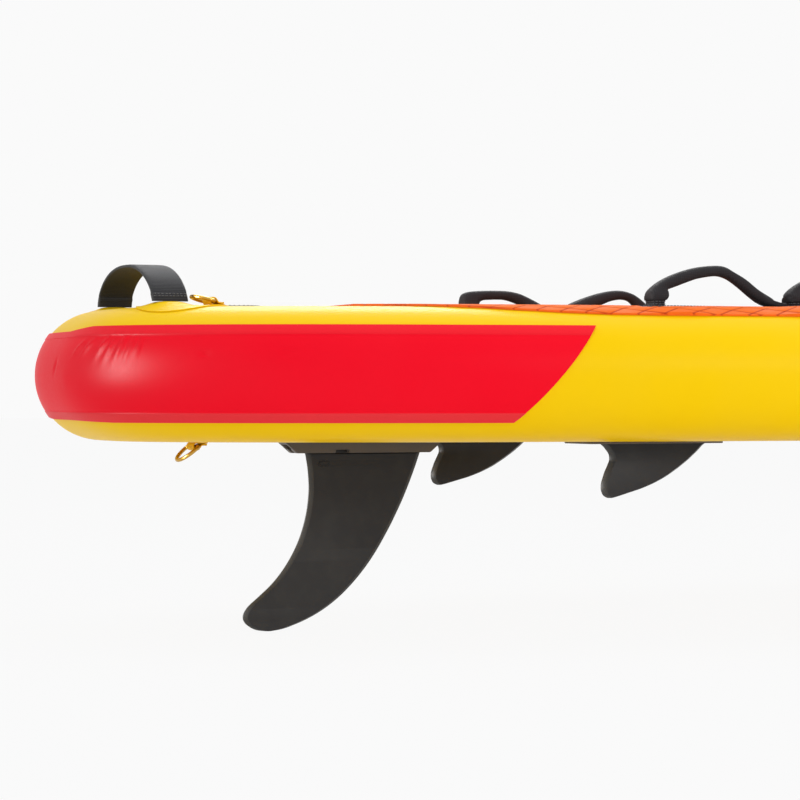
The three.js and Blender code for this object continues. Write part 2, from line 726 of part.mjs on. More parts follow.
function carryGrip() {
  const cover = (CARRY_GRIP_THICKNESS - WEBBING_THICKNESS) / 2;
  const arch = { span: CARRY_SPAN, rise: CARRY_RISE, isLengthwise: true };
  const grip = archBand({
    ...arch,
    width: CARRY_GRIP_WIDTH,
    inward: WEBBING_THICKNESS + cover,
    outward: cover,
    arc: CARRY_GRIP_ARC_SHARE,
  });
  const room = archBand({
    ...arch,
    width: CARRY_WIDTH + 2 * GLUE_GAP,
    inward: WEBBING_THICKNESS + GLUE_GAP,
    outward: GLUE_GAP,
  });
  return placed(grip.subtract(room).translate([0, 0, ON_PATCH]), CARRY_FRAME);
}

// One padded grab handle: webbing that stands on its aft foot, fills out into a sleeve and ends flat
function grabHandle(index, side) {
  const baseZ = HULL_THICKNESS + GLUE_GAP + GRAB_STRIP_THICKNESS + GLUE_GAP;
  const pitches = Math.floor(index / 2) * GRAB_PAIR_PITCHES + (index % 2);
  const startX = GRAB_FIRST_X + pitches * GRAB_PITCH;
  const rings = GRAB_STATION_SHARES.map(([upperX, upperZ, lowerX, lowerZ, wide]) => {
    const upper = new THREE.Vector2(upperX * GRAB_PITCH, upperZ * GRAB_CROWN_HEIGHT);
    const lower = new THREE.Vector2(lowerX * GRAB_PITCH, lowerZ * GRAB_CROWN_HEIGHT);
    const middle = upper.clone().add(lower).divideScalar(2);
    const half = upper.clone().sub(middle);
    const points = [];
    for (let i = 0; i < GRAB_SECTION_SIDES; i++) {
      const angle = (2 * Math.PI * (i + 1 / 2)) / GRAB_SECTION_SIDES;
      const reach = 1 / Math.cos(Math.PI / GRAB_SECTION_SIDES);
      const place = middle.clone().addScaledVector(half, reach * Math.cos(angle));
      const across = (reach * Math.sin(angle) * wide * GRAB_WEBBING_WIDTH) / 2;
      points.push(new THREE.Vector3(startX + place.x, side * GRAB_ROW_Y + across, baseZ + place.y));
    }
    return points;
  });
  return loft(rings);
}

// Centre line of a D-ring: its bar lies on the Y axis and its bow reaches towards -X
function ringCentreLine(innerWidth, outerDepth) {
  const halfWidth = (innerWidth + RING_WIRE) / 2;
  const depth = outerDepth - RING_WIRE / 2;
  const corner = RING_CORNER_RADIUS;
  const quarter = Math.PI / 2;
  const points = [];
  const arc = (middleY, reachX, reachY, from, to, steps) => {
    for (let i = 0; i <= steps; i++) {
      const angle = from + ((to - from) * i) / steps;
      points.push(new THREE.Vector2(reachX * Math.cos(angle) - corner, middleY + reachY * Math.sin(angle)));
    }
  };
  arc(halfWidth - corner, corner, corner, 0, quarter, RING_CORNER_STEPS);
  arc(0, depth - corner, halfWidth, quarter, 3 * quarter, RING_ARC_STEPS);
  arc(corner - halfWidth, corner, corner, 3 * quarter, 4 * quarter, RING_CORNER_STEPS);
  return points.filter((point, i) => i === 0 || point.distanceTo(points[i - 1]) > MERGE_DISTANCE);
}

function dRing(innerWidth, outerDepth) {
  const line = ringCentreLine(innerWidth, outerDepth);
  const rings = line.map((point, i) => {
    const before = line[(i + line.length - 1) % line.length];
    const after = line[(i + 1) % line.length];
    const into = point.clone().sub(before).normalize();
    const out = after.clone().sub(point).normalize();
    const along = into.clone().add(out).normalize();
    const outward = new THREE.Vector2(along.y, -along.x);
    const stretch = 1 / along.dot(out);
    const section = [];
    for (let j = 0; j < RING_WIRE_SIDES; j++) {
      const angle = (2 * Math.PI * j) / RING_WIRE_SIDES;
      const reach = (RING_WIRE / 2) * Math.cos(angle) * stretch;
      const height = (RING_WIRE / 2) * Math.sin(angle);
      section.push(new THREE.Vector3(point.x + outward.x * reach, point.y + outward.y * reach, height));
    }
    return section;
  });
  return solidOf(loft(rings, true));
}

const TAB_BORE_RADIUS = RING_WIRE / 2 + TAB_BORE_CLEARANCE;
const RING_BAR_HEIGHT = TAB_BORE_RADIUS + TAB_WALL;

// Folded webbing tab: a loop round the ring's bar, and a flat tail that is glued down
function ringTab() {
  const loop = new THREE.Shape().absarc(0, RING_BAR_HEIGHT, RING_BAR_HEIGHT, 0, 2 * Math.PI);
  loop.holes.push(new THREE.Path().absarc(0, RING_BAR_HEIGHT, TAB_BORE_RADIUS, 0, 2 * Math.PI, true));
  const tail = box(
    TAB_TAIL_LENGTH,
    TAB_WIDTH,
    TAB_TAIL_THICKNESS,
    TAB_TAIL_LENGTH / 2,
    0,
    TAB_TAIL_THICKNESS / 2,
  );
  return lengthwisePlate(loop, TAB_WIDTH).add(tail);
}

// A D-ring and its tab, seated on a patch in the given frame
function ringOnTab(name, frame, angle, innerWidth = RING_INNER_WIDTH, depth = RING_DEPTH) {
  const turn = new THREE.Matrix4().makeRotationY(THREE.MathUtils.degToRad(angle));
  const steel = dRing(innerWidth, depth)
    .transform(turn.elements)
    .translate([0, 0, ON_PATCH + RING_BAR_HEIGHT]);
  const tab = ringTab().translate([0, 0, ON_PATCH]);
  return [
    namedMesh(`${name}_ring`, placed(steel, frame), STEEL),
    namedMesh(`${name}_ring_tab`, placed(tab, frame), YELLOW_PVC),
  ];
}

// Inflation valve: heights are counted from the deck's surface
const VALVE_BODY_LOW = GLUE_GAP + VALVE_GASKET_THICKNESS + GLUE_GAP;
const VALVE_BODY_TOP = VALVE_BODY_LOW + VALVE_FLANGE_THICKNESS;
const VALVE_BORE_RADIUS = VALVE_TUBE_RADIUS - VALVE_TUBE_WALL;
const SEAT_LOW = -VALVE_SEAT_DEPTH - VALVE_SEAT_THICKNESS;
const BUTTON_LOW = POPPET_RISE - POPPET_BUTTON_THICKNESS;
const STEM_HOLE_RADIUS = POPPET_STEM_RADIUS + VALVE_RUNNING_GAP;

function valveBody() {
  const tube = ring(VALVE_BORE_RADIUS, VALVE_TUBE_RADIUS, -VALVE_TUBE_DEPTH, VALVE_BODY_TOP);
  const flange = ring(VALVE_BORE_RADIUS, VALVE_FLANGE_RADIUS, VALVE_BODY_LOW, VALVE_BODY_TOP);
  const wallMiddle = VALVE_TUBE_RADIUS - VALVE_TUBE_WALL / 2;
  let seat = ring(STEM_HOLE_RADIUS, wallMiddle, SEAT_LOW, -VALVE_SEAT_DEPTH);
  for (let i = 0; i < VALVE_VENTS; i++) {
    const angle = (2 * Math.PI * i) / VALVE_VENTS;
    const vent = turned(
      [
        [0, SEAT_LOW - CUT_OVERRUN],
        [VALVE_VENT_RADIUS, SEAT_LOW - CUT_OVERRUN],
        [VALVE_VENT_RADIUS, 0],
        [0, 0],
      ],
      VALVE_VENT_SEGMENTS,
    );
    const place = [VALVE_VENT_CIRCLE * Math.cos(angle), VALVE_VENT_CIRCLE * Math.sin(angle), 0];
    seat = seat.subtract(vent.translate(place));
  }
  return tube.add(flange).add(seat);
}

function valvePoppet() {
  const discTop = SEAT_LOW - GLUE_GAP;
  return turned([
    [0, discTop - POPPET_DISC_THICKNESS],
    [POPPET_DISC_RADIUS, discTop - POPPET_DISC_THICKNESS],
    [POPPET_DISC_RADIUS, discTop],
    [POPPET_STEM_RADIUS, discTop],
    [POPPET_STEM_RADIUS, BUTTON_LOW],
    [POPPET_BUTTON_RADIUS, BUTTON_LOW],
    [POPPET_BUTTON_RADIUS, POPPET_RISE],
    [0, POPPET_RISE],
  ]);
}

// Return spring round the stem: a helix between the seat and the button
function valveSpring() {
  const low = -VALVE_SEAT_DEPTH + GLUE_GAP + SPRING_WIRE / 2;
  const high = BUTTON_LOW - GLUE_GAP - SPRING_WIRE / 2;
  const steps = SPRING_CURLS * SPRING_STEPS_PER_CURL;
  const rings = [];
  for (let i = 0; i <= steps; i++) {
    const angle = (2 * Math.PI * i) / SPRING_STEPS_PER_CURL;
    const outward = new THREE.Vector3(Math.cos(angle), Math.sin(angle), 0);
    const middle = outward.clone().multiplyScalar(SPRING_RADIUS);
    middle.z = low + ((high - low) * i) / steps;
    const section = [];
    for (let j = 0; j < SPRING_WIRE_SIDES; j++) {
      const turn = (2 * Math.PI * j) / SPRING_WIRE_SIDES;
      const point = middle.clone().addScaledVector(outward, (SPRING_WIRE / 2) * Math.cos(turn));
      point.z += (SPRING_WIRE / 2) * Math.sin(turn);
      section.push(point);
    }
    rings.push(section);
  }
  return solidOf(loft(rings));
}

function valveCap() {
  const low = VALVE_BODY_TOP + GLUE_GAP;
  const top = low + VALVE_CAP_THICKNESS;
  const skirtOuter = VALVE_BORE_RADIUS - VALVE_RUNNING_GAP;
  const skirtLow = POPPET_RISE + GLUE_GAP;
  return turned([
    [0, low],
    [skirtOuter - VALVE_CAP_SKIRT, low],
    [skirtOuter - VALVE_CAP_SKIRT, skirtLow],
    [skirtOuter, skirtLow],
    [skirtOuter, low],
    [VALVE_CAP_RADIUS, low],
    [VALVE_CAP_RADIUS, top],
    [0, top],
  ]);
}

function valveMeshes() {
  const frame = hullFrame(VALVE_X, 0);
  const clearTube = VALVE_TUBE_RADIUS + GLUE_GAP;
  const gasket = ring(clearTube, VALVE_FLANGE_RADIUS, GLUE_GAP, GLUE_GAP + VALVE_GASKET_THICKNESS);
  const nutTop = -SKIN_THICKNESS - GLUE_GAP;
  const nut = ring(clearTube, VALVE_FLANGE_RADIUS - GLUE_GAP, nutTop - VALVE_NUT_THICKNESS, nutTop);
  const pieces = [
    ["valve_gasket", gasket, GASKET_RUBBER],
    ["valve_body", valveBody(), VALVE_PLASTIC],
    ["valve_retaining_nut", nut, VALVE_PLASTIC],
    ["valve_poppet", valvePoppet(), VALVE_PLASTIC],
    ["valve_spring", valveSpring(), STEEL],
    ["valve_cap", valveCap(), VALVE_PLASTIC],
  ];
  return pieces.map(([name, solid, material]) => namedMesh(name, placed(solid, frame), material));
}

// A blade hanging from its root through level sections, each flat with chamfered aft and fore edges
function blade(sectionShares, chord, depth, thickness, chamfer, edgeThickness) {
  const rings = sectionShares.map(([down, aftShare, foreShare]) => {
    const aft = aftShare * chord;
    const fore = foreShare * chord;
    const flank = Math.min(chamfer, (fore - aft) * BLADE_FLANK_SHARE);
    const half = edgeThickness / 2 + ((thickness - edgeThickness) / 2) * (flank / chamfer);
    const section = [
      [aft, -edgeThickness / 2],
      [aft + flank, -half],
      [fore - flank, -half],
      [fore, -edgeThickness / 2],
      [fore, edgeThickness / 2],
      [fore - flank, half],
      [aft + flank, half],
      [aft, edgeThickness / 2],
    ];
    return section.map(([x, y]) => new THREE.Vector3(x, y, -down * depth));
  });
  return solidOf(loft(rings));
}

// Centre fin, from the box's lower face down: the blade, a neck in the slot and a wider head above it
const FIN_ROOT_Z = FIN_BOX_BOTTOM_Z - FIN_SLOT_CLEARANCE;
const FIN_NECK_TOP_Z = FIN_ROOT_Z + FIN_NECK_HEIGHT;
const FIN_BUTTON_X = FIN_AFT_X + FIN_BUTTON_OFFSET;
const FIN_BUTTON_Z = FIN_ROOT_Z - FIN_BUTTON_DROP;

function ovalAt(length, height, middleX, middleZ) {
  return new THREE.Shape().absellipse(middleX, middleZ, length / 2, height / 2, 0, 2 * Math.PI);
}

function centreFin() {
  const body = blade(
    FIN_SECTION_SHARES,
    FIN_CHORD,
    FIN_DEPTH,
    FIN_THICKNESS,
    FIN_EDGE_CHAMFER,
    FIN_EDGE_THICKNESS,
  );
  const middleX = FIN_CHORD / 2;
  const neck = box(FIN_CHORD, FIN_THICKNESS, FIN_NECK_HEIGHT, middleX, 0, FIN_NECK_HEIGHT / 2);
  const headMiddle = FIN_NECK_HEIGHT + FIN_HEAD_HEIGHT / 2;
  const head = box(FIN_CHORD, FIN_HEAD_WIDTH, FIN_HEAD_HEIGHT, middleX, 0, headMiddle);
  const pocketDepth = FIN_BUTTON_DEPTH + FIN_BUTTON_TRAVEL;
  const pocketShape = ovalAt(
    FIN_BUTTON_LENGTH + 2 * GLUE_GAP,
    FIN_BUTTON_HEIGHT + 2 * GLUE_GAP,
    FIN_BUTTON_OFFSET,
    -FIN_BUTTON_DROP,
  );
  const pocketMiddle = -FIN_THICKNESS / 2 + (pocketDepth - CUT_OVERRUN) / 2;
  const pocket = lengthwisePlate(pocketShape, pocketDepth + CUT_OVERRUN, pocketMiddle);
  return body
    .add(neck)
    .add(head)
    .subtract(pocket)
    .translate([FIN_AFT_X, 0, FIN_ROOT_Z]);
}

function finButton() {
  const shape = ovalAt(FIN_BUTTON_LENGTH, FIN_BUTTON_HEIGHT, FIN_BUTTON_X, FIN_BUTTON_Z);
  const middleY = -FIN_THICKNESS / 2 + FIN_BUTTON_DEPTH / 2 - GLUE_GAP;
  return lengthwisePlate(shape, FIN_BUTTON_DEPTH, middleY);
}

function finBox() {
  const top = -ON_PATCH;
  const body = lengthwisePlate(
    [
      [FIN_BOX_AFT_X, top],
      [FIN_BOX_AFT_X + FIN_BOX_END_SLOPE, FIN_BOX_BOTTOM_Z],
      [FIN_BOX_AFT_X + FIN_BOX_LENGTH - FIN_BOX_END_SLOPE, FIN_BOX_BOTTOM_Z],
      [FIN_BOX_AFT_X + FIN_BOX_LENGTH, top],
    ],
    FIN_BOX_WIDTH,
  );
  const channelEndX = FIN_AFT_X + FIN_CHORD + FIN_SLOT_CLEARANCE;
  const channelStartX = FIN_BOX_AFT_X - CUT_OVERRUN;
  const channelLength = channelEndX - channelStartX;
  const channelX = channelStartX + channelLength / 2;
  const slotHeight = FIN_NECK_TOP_Z + CUT_OVERRUN - FIN_BOX_BOTTOM_Z;
  const slot = box(
    channelLength,
    FIN_THICKNESS + 2 * FIN_SLOT_CLEARANCE,
    slotHeight,
    channelX,
    0,
    FIN_NECK_TOP_Z - slotHeight / 2,
  );
  const headRoom = FIN_HEAD_HEIGHT + 2 * FIN_SLOT_CLEARANCE;
  const channel = box(
    channelLength,
    FIN_HEAD_WIDTH + 2 * FIN_SLOT_CLEARANCE,
    headRoom,
    channelX,
    0,
    FIN_NECK_TOP_Z - FIN_SLOT_CLEARANCE + headRoom / 2,
  );
  const notchHeight = FIN_NOTCH_HEIGHT + CUT_OVERRUN;
  const notch = box(
    FIN_NOTCH_LENGTH,
    FIN_BOX_WIDTH + 2 * CUT_OVERRUN,
    notchHeight,
    FIN_AFT_X + FIN_NOTCH_OFFSET,
    0,
    FIN_BOX_BOTTOM_Z + FIN_NOTCH_HEIGHT - notchHeight / 2,
  );
  return body.subtract(slot).subtract(channel).subtract(notch);
}

// Flat plate under the bottom skin, drawn in plan
function bottomPlate(points, thickness) {
  return planBlock(points, -GLUE_GAP - thickness, -GLUE_GAP);
}

function finBoxFlange() {
  const aft = FIN_BOX_AFT_X - FIN_BOX_FLANGE_MARGIN;
  const fore = FIN_BOX_AFT_X + FIN_BOX_LENGTH + FIN_BOX_FLANGE_MARGIN;
  const half = FIN_BOX_WIDTH / 2 + FIN_BOX_FLANGE_MARGIN;
  return bottomPlate(planRectangle(aft, fore, -half, half), PATCH_THICKNESS);
}

const SIDE_FIN_X = -HALF_LENGTH + SIDE_FIN_SETBACK;
const SIDE_FIN_Y = HALF_WIDTH - SIDE_FIN_RAIL_SETBACK;

function sideFin(side) {
  const body = blade(
    SIDE_FIN_SECTION_SHARES,
    SIDE_FIN_CHORD,
    SIDE_FIN_DEPTH,
    SIDE_FIN_THICKNESS,
    SIDE_FIN_EDGE_CHAMFER,
    SIDE_FIN_EDGE_THICKNESS,
  );
  const top = -GLUE_GAP - SIDE_FIN_PLATE_THICKNESS - GLUE_GAP;
  const toed = body.rotate([0, 0, -side * SIDE_FIN_TOE_IN]);
  return toed.translate([SIDE_FIN_X, side * SIDE_FIN_Y, top]);
}

function sideFinPlate(side) {
  const half = SIDE_FIN_PLATE_WIDTH / 2;
  const fore = SIDE_FIN_CHORD + SIDE_FIN_PLATE_FORE_MARGIN;
  const outline = planRectangle(-SIDE_FIN_PLATE_AFT_MARGIN, fore, -half, half);
  const plate = bottomPlate(outline, SIDE_FIN_PLATE_THICKNESS);
  return plate.rotate([0, 0, -side * SIDE_FIN_TOE_IN]).translate([SIDE_FIN_X, side * SIDE_FIN_Y, 0]);
}

const board = new THREE.Group();

board.add(
  namedMesh("drop_stitch_core", dropStitchCore(), CORE_FABRIC),
  namedMesh("deck_skin", deckSkin(), YELLOW_PVC),
  namedMesh("bottom_skin", skinBetween(-CUT_OVERRUN, SEAM_SETBACK - GLUE_GAP), YELLOW_PVC),
  namedMesh("rail_band", skinBetween(SEAM_SETBACK, HULL_THICKNESS - SEAM_SETBACK), YELLOW_PVC),
  namedMesh("tail_rail_patch", railPatch(-1), RED_PVC),
  namedMesh("nose_rail_patch", railPatch(1), RED_PVC),
  namedMesh("deck_pad", deckPad(), ORANGE_FOAM),
  namedMesh("carry_handle_patch", deckPatch(carryPatchBounds(0), PATCH_THICKNESS), YELLOW_PVC),
  namedMesh("carry_handle_strap", carryStrap(), BLACK_WEBBING),
  namedMesh("carry_handle_grip", carryGrip(), PADDED_SLEEVE),
  namedMesh("fin_box_flange", finBoxFlange(), BOX_PLASTIC),
  namedMesh("fin_box", finBox(), BOX_PLASTIC),
  namedMesh("centre_fin", centreFin(), BLADE_PLASTIC),
  namedMesh("fin_release_button", finButton(), BOX_PLASTIC),
  ...valveMeshes(),
);

for (const [end, x] of [["tail", TAIL_HANDLE_X], ["nose", NOSE_HANDLE_X]]) {
  board.add(namedMesh(`${end}_handle`, endHandle(hullFrame(x, 0)), BLACK_WEBBING));
}

const towFrame = hullFrame(-HALF_LENGTH + TOW_RING_SETBACK, 0, true);
const noseRingFrame = hullFrame(HALF_LENGTH - NOSE_RING_SETBACK, 0);

for (const [sideName, side] of [["port", PORT], ["starboard", STARBOARD]]) {
  const y = side * END_HANDLE_FOOT_Y;
  const deckRingAngle = side === PORT ? DECK_RING_FLOPPED_ANGLE : DECK_RING_ANGLE;
  board.add(
    namedMesh(`tail_handle_patch_${sideName}`, domedPatch(TAIL_HANDLE_X, FOOT_PATCH_LEAD, y), YELLOW_PVC),
    namedMesh(`nose_handle_patch_${sideName}`, domedPatch(NOSE_HANDLE_X, -FOOT_PATCH_LEAD, y), YELLOW_PVC),
    ...ringOnTab(`deck_${sideName}`, hullFrame(TAIL_HANDLE_X + DECK_RING_OFFSET, y), deckRingAngle),
    namedMesh(
      `grab_strip_${sideName}`,
      deckPatch(grabStripBounds(side, 0), GRAB_STRIP_THICKNESS),
      BLACK_WEBBING,
    ),
    namedMesh(`side_fin_${sideName}`, sideFin(side), BLADE_PLASTIC),
    namedMesh(`side_fin_plate_${sideName}`, sideFinPlate(side), BOX_PLASTIC),
  );
  for (let i = 0; i < 2 * GRAB_HANDLE_PAIRS; i++) {
    board.add(namedMesh(`grab_handle_${sideName}_${i + 1}`, grabHandle(i, side), PADDED_SLEEVE));
  }
}

board.add(
  namedMesh("tow_ring_patch", roundPatch(RING_PATCH_RADIUS, towFrame), YELLOW_PVC),
  ...ringOnTab("tow", towFrame, TOW_RING_ANGLE, TOW_RING_INNER_WIDTH, TOW_RING_DEPTH),
  namedMesh("nose_ring_patch", roundPatch(RING_PATCH_RADIUS, noseRingFrame), YELLOW_PVC),
  ...ringOnTab("nose", noseRingFrame, DECK_RING_ANGLE),
);

export default board;
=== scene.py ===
"""Looks of the lifeguard rescue board: skins, grooved pad, webbing, sleeves, rings, fins and valve, in metres."""

import logging
import math
from dataclasses import dataclass, field
from enum import Enum
from typing import Any, Sequence

import bmesh
import bpy
import numpy as np
from mathutils import Matrix, Vector
from mathutils.kdtree import KDTree


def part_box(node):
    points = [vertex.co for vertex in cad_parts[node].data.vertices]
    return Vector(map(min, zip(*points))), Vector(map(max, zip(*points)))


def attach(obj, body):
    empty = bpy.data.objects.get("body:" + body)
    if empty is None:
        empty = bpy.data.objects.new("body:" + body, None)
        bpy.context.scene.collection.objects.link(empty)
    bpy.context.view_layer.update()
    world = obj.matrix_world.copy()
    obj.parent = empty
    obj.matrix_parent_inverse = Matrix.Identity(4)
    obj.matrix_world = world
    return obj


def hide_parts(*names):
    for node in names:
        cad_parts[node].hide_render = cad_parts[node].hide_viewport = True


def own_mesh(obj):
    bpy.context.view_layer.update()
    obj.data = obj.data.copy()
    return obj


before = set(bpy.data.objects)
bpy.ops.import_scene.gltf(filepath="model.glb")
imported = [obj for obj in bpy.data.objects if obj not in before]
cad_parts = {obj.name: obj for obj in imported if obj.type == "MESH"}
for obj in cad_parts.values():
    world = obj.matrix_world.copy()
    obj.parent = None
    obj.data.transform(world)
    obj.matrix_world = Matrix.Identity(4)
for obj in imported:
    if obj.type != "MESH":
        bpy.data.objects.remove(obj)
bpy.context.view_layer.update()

LOG = logging.getLogger("rescue_board")
MM = 0.001
SIMULATION_FRAMES = 20
OUTLINE_SAMPLES = 5200
Points = np.ndarray
Face = tuple[int, ...]
Node, Socket, Tree = bpy.types.Node, bpy.types.NodeSocket, bpy.types.NodeTree
Mesh, Obj = bpy.types.Mesh, bpy.types.Object


class Choice(Enum):
    """A choice whose word is in the names of nodes and pieces."""

    @property
    def word(self) -> str:
        """The choice's word."""
        return self.name.lower()


class Side(Choice):
    """A side of the board, by the sign of its Y."""

    PORT = 1
    STARBOARD = -1


class End(Choice):
    """An end of the board, by the sign of its X."""

    TAIL = -1
    NOSE = 1


# Materials


def linear(code: str) -> tuple[float, ...]:
    """Turns an sRGB hex colour to linear.

    Args:
        code: Six hex digits after a hash sign.

    Returns:
        Red, green, blue and an alpha of one.
    """
    channels = [int(code[i : i + 2], 16) / 255 for i in (1, 3, 5)]
    return *(c / 12.92 if c <= 0.04045 else ((c + 0.055) / 1.055) ** 2.4 for c in channels), 1.0


def put(node: Node, values: dict) -> None:
    """Sets a node's inputs.

    Args:
        node: The node.
        values: For each input's name or number, a value, or a socket to link from.
    """
    for key, value in values.items():
        if isinstance(value, Socket):
            node.id_data.links.new(value, node.inputs[key])
        else:
            node.inputs[key].default_value = value


def add(tree: Tree, kind: str, values: dict | None = None, out: str | int = 0, **settings: Any) -> Socket | None:
    """Adds a node with its settings, values and links.

    Args:
        tree: The tree that gets the node.
        kind: The node's type.
        values: For each input's name or number, a value, or a socket to link from.
        out: The name or number of the output that is wanted.
        **settings: The node's own properties.

    Returns:
        That output, where the node has any.
    """
    node = tree.nodes.new(kind)
    for key, value in settings.items():
        setattr(node, key, value)
    put(node, values or {})
    return node.outputs[out] if len(node.outputs) else None


def crossed(tree: Tree, wave: dict, directions: str) -> Socket:
    """Multiplies two crossing sets of waves, as threads and stitches do.

    Args:
        tree: The tree.
        wave: The inputs that both sets have.
        directions: The two axes that they repeat along.

    Returns:
        The product.
    """
    sets = [add(tree, "ShaderNodeTexWave", wave, "Fac", bands_direction=axis) for axis in directions]
    return add(tree, "ShaderNodeMath", {0: sets[0], 1: sets[1]}, operation="MULTIPLY")


def wave_scale(period_mm: float) -> float:
    """Scale of a wave texture whose bands repeat every so many millimetres."""
    return math.pi / (10 * period_mm * MM)


@dataclass(frozen=True)
class Finish:
    """A finish with a name, a colour and a roughness, which its kinds add their own pattern to."""

    name: str
    colour: str
    roughness: float = 0.5
    slot: str = "hull_yellow"

    def material(self) -> bpy.types.Material:
        """The finish's material, made on its first use."""
        found = bpy.data.materials.get(self.name)
        if found:
            return found
        made = bpy.data.materials.new(self.name)
        made.use_nodes = True
        made.diffuse_color = linear(self.colour)
        base = {"Base Color": linear(self.colour), "Roughness": self.roughness}
        put(made.node_tree.nodes["Principled BSDF"], base)
        self.pattern()
        return made

    @property
    def tree(self) -> Tree:
        """The node tree of the finish's material."""
        return bpy.data.materials[self.name].node_tree

    def pattern(self) -> None:
        """Adds the finish's pattern, where its kind has one."""

    def shade(
        self,
        tint: tuple[Socket, str] | None = None,
        gloss: tuple[Socket, float, float] | None = None,
        bumps: Sequence[tuple[Socket, float, float]] = (),
        **values: float,
    ) -> None:
        """Sets the shader from what a pattern gives.

        Args:
            tint: An amount from 0, this finish's colour, to 1, and the other colour in hex.
            gloss: A pattern and what it adds to the roughness at 0 and at 1.
            bumps: Heights from the lowest layer up, each with its strength and its depth in millimetres.
            **values: Other inputs of the shader, with low lines for the spaces in their names.
        """
        tree = self.tree
        inputs = {word.replace("_", " "): value for word, value in values.items()}
        if tint:
            mix = {"Factor": tint[0], 6: linear(self.colour), 7: linear(tint[1])}
            inputs["Base Color"] = add(tree, "ShaderNodeMix", mix, 2, data_type="RGBA")
        if gloss:
            source, low, high = gloss
            span = {"Value": source, "To Min": self.roughness + low, "To Max": self.roughness + high}
            inputs["Roughness"] = add(tree, "ShaderNodeMapRange", span)
        below = {}
        for height, strength, depth in bumps:
            layer = {"Height": height, "Strength": strength, "Distance": depth * MM, **below}
            below = {"Normal": add(tree, "ShaderNodeBump", layer)}
        put(tree.nodes["Principled BSDF"], inputs | below)


@dataclass(frozen=True)
class CoatedFabric(Finish):
    """PVC-coated polyester, calendered: smooth and semi-gloss, with the base cloth's threads just showing."""

    # The second colour tints a faint random mottle, and where the lap attribute is set it is painted light: a painted
    # reflection of the floor and a painted highlight.
    dust_and_painted_light: str = "#ffffff"
    thread_mm: float = 2.4
    painted_light_share: float = 0.0

    def pattern(self) -> None:
        """Adds threads, slow waviness, uneven gloss, a faint random mottle, and light painted into the colour where
        the lap attribute is set.
        """
        tree = self.tree
        place = add(tree, "ShaderNodeTexCoord", out="Object")
        # Base cloth of about 0.9 mm a thread, drawn at 2.4 mm so that it shows at this distance
        thread = {"Vector": place, "Scale": wave_scale(self.thread_mm), "Distortion": 0.4, "Detail": 0.0}
        cloth = crossed(tree, thread, "XZ")
        slow = add(tree, "ShaderNodeTexNoise", {"Vector": place, "Scale": 9.0, "Detail": 2.0})
        fine = add(tree, "ShaderNodeTexNoise", {"Vector": place, "Scale": 260.0, "Detail": 3.0})
        faint = add(tree, "ShaderNodeMapRange", {"Value": slow, "From Min": 0.35, "From Max": 0.75, "To Max": 0.02})
        # The lap attribute paints light into the colour beyond a band's seams: a painted reflection of the floor on
        # the strip below, a weaker painted highlight on the strip above.
        lap = add(tree, "ShaderNodeAttribute", out="Fac", attribute_name="lap")
        over = add(tree, "ShaderNodeMath", {0: lap, 1: self.painted_light_share, 2: faint}, operation="MULTIPLY_ADD")
        bumps = [(cloth, 0.12, 0.15), (slow, 0.3, 1.0)]
        self.shade((over, self.dust_and_painted_light), (fine, -0.05, 0.07), bumps, IOR=1.3, Specular_IOR_Level=0.14)


@dataclass(frozen=True)
class GroovedFoam(Finish):
    """Closed-cell EVA foam, brushed to a matt nap, with its grooves pressed darker and denser."""

    groove_colour: str = "#ba320a"

    def pattern(self) -> None:
        """Adds the nap's grain and the grooves' darker colour."""
        tree = self.tree
        place = add(tree, "ShaderNodeTexCoord", out="Object")
        groove = add(tree, "ShaderNodeAttribute", out="Fac", attribute_name="groove")
        # Brushed cells of about 0.4 mm, drawn as a 1.5 mm grain
        nap = {"Vector": place, "Scale": 700.0, "Detail": 4.0, "Roughness": 0.7}
        grain = add(tree, "ShaderNodeTexNoise", nap)
        patch = add(tree, "ShaderNodeTexNoise", {"Vector": place, "Scale": 30.0, "Detail": 3.0})
        worn = add(tree, "ShaderNodeMapRange", {"Value": patch, "From Min": 0.4, "From Max": 0.9, "To Max": 0.18})
        dark = add(tree, "ShaderNodeMath", {0: groove, 1: worn}, operation="MAXIMUM")
        self.shade((dark, self.groove_colour), bumps=[(grain, 0.5, 0.35)], Specular_IOR_Level=0.15)


@dataclass(frozen=True)
class WovenWebbing(Finish):
    """Polyester webbing, loom-woven: fine cross ribs, dull, with a faint sheen on the ribs."""

    rib_mm: float = 2.6
    light: str = "#3e3e41"

    def pattern(self) -> None:
        """Adds the ribs along the piece's own UV map, in metres."""
        tree = self.tree
        place = add(tree, "ShaderNodeTexCoord", out="UV")
        # Ribs every 1.1 mm on the real webbing, drawn at 2.6 mm so that they show
        rib = {"Vector": place, "Scale": wave_scale(self.rib_mm), "Distortion": 0.6, "Detail": 1.0}
        ribs = add(tree, "ShaderNodeTexWave", rib, "Fac", bands_direction="X")
        lint = add(tree, "ShaderNodeTexNoise", {"Vector": place, "Scale": 500.0, "Detail": 3.0})
        spread = add(tree, "ShaderNodeMath", {0: ribs, 1: lint}, operation="MULTIPLY")
        bumps = [(ribs, 0.5, 0.3)]
        self.shade((spread, self.light), None, bumps, Sheen_Weight=0.06, Specular_IOR_Level=0.15)


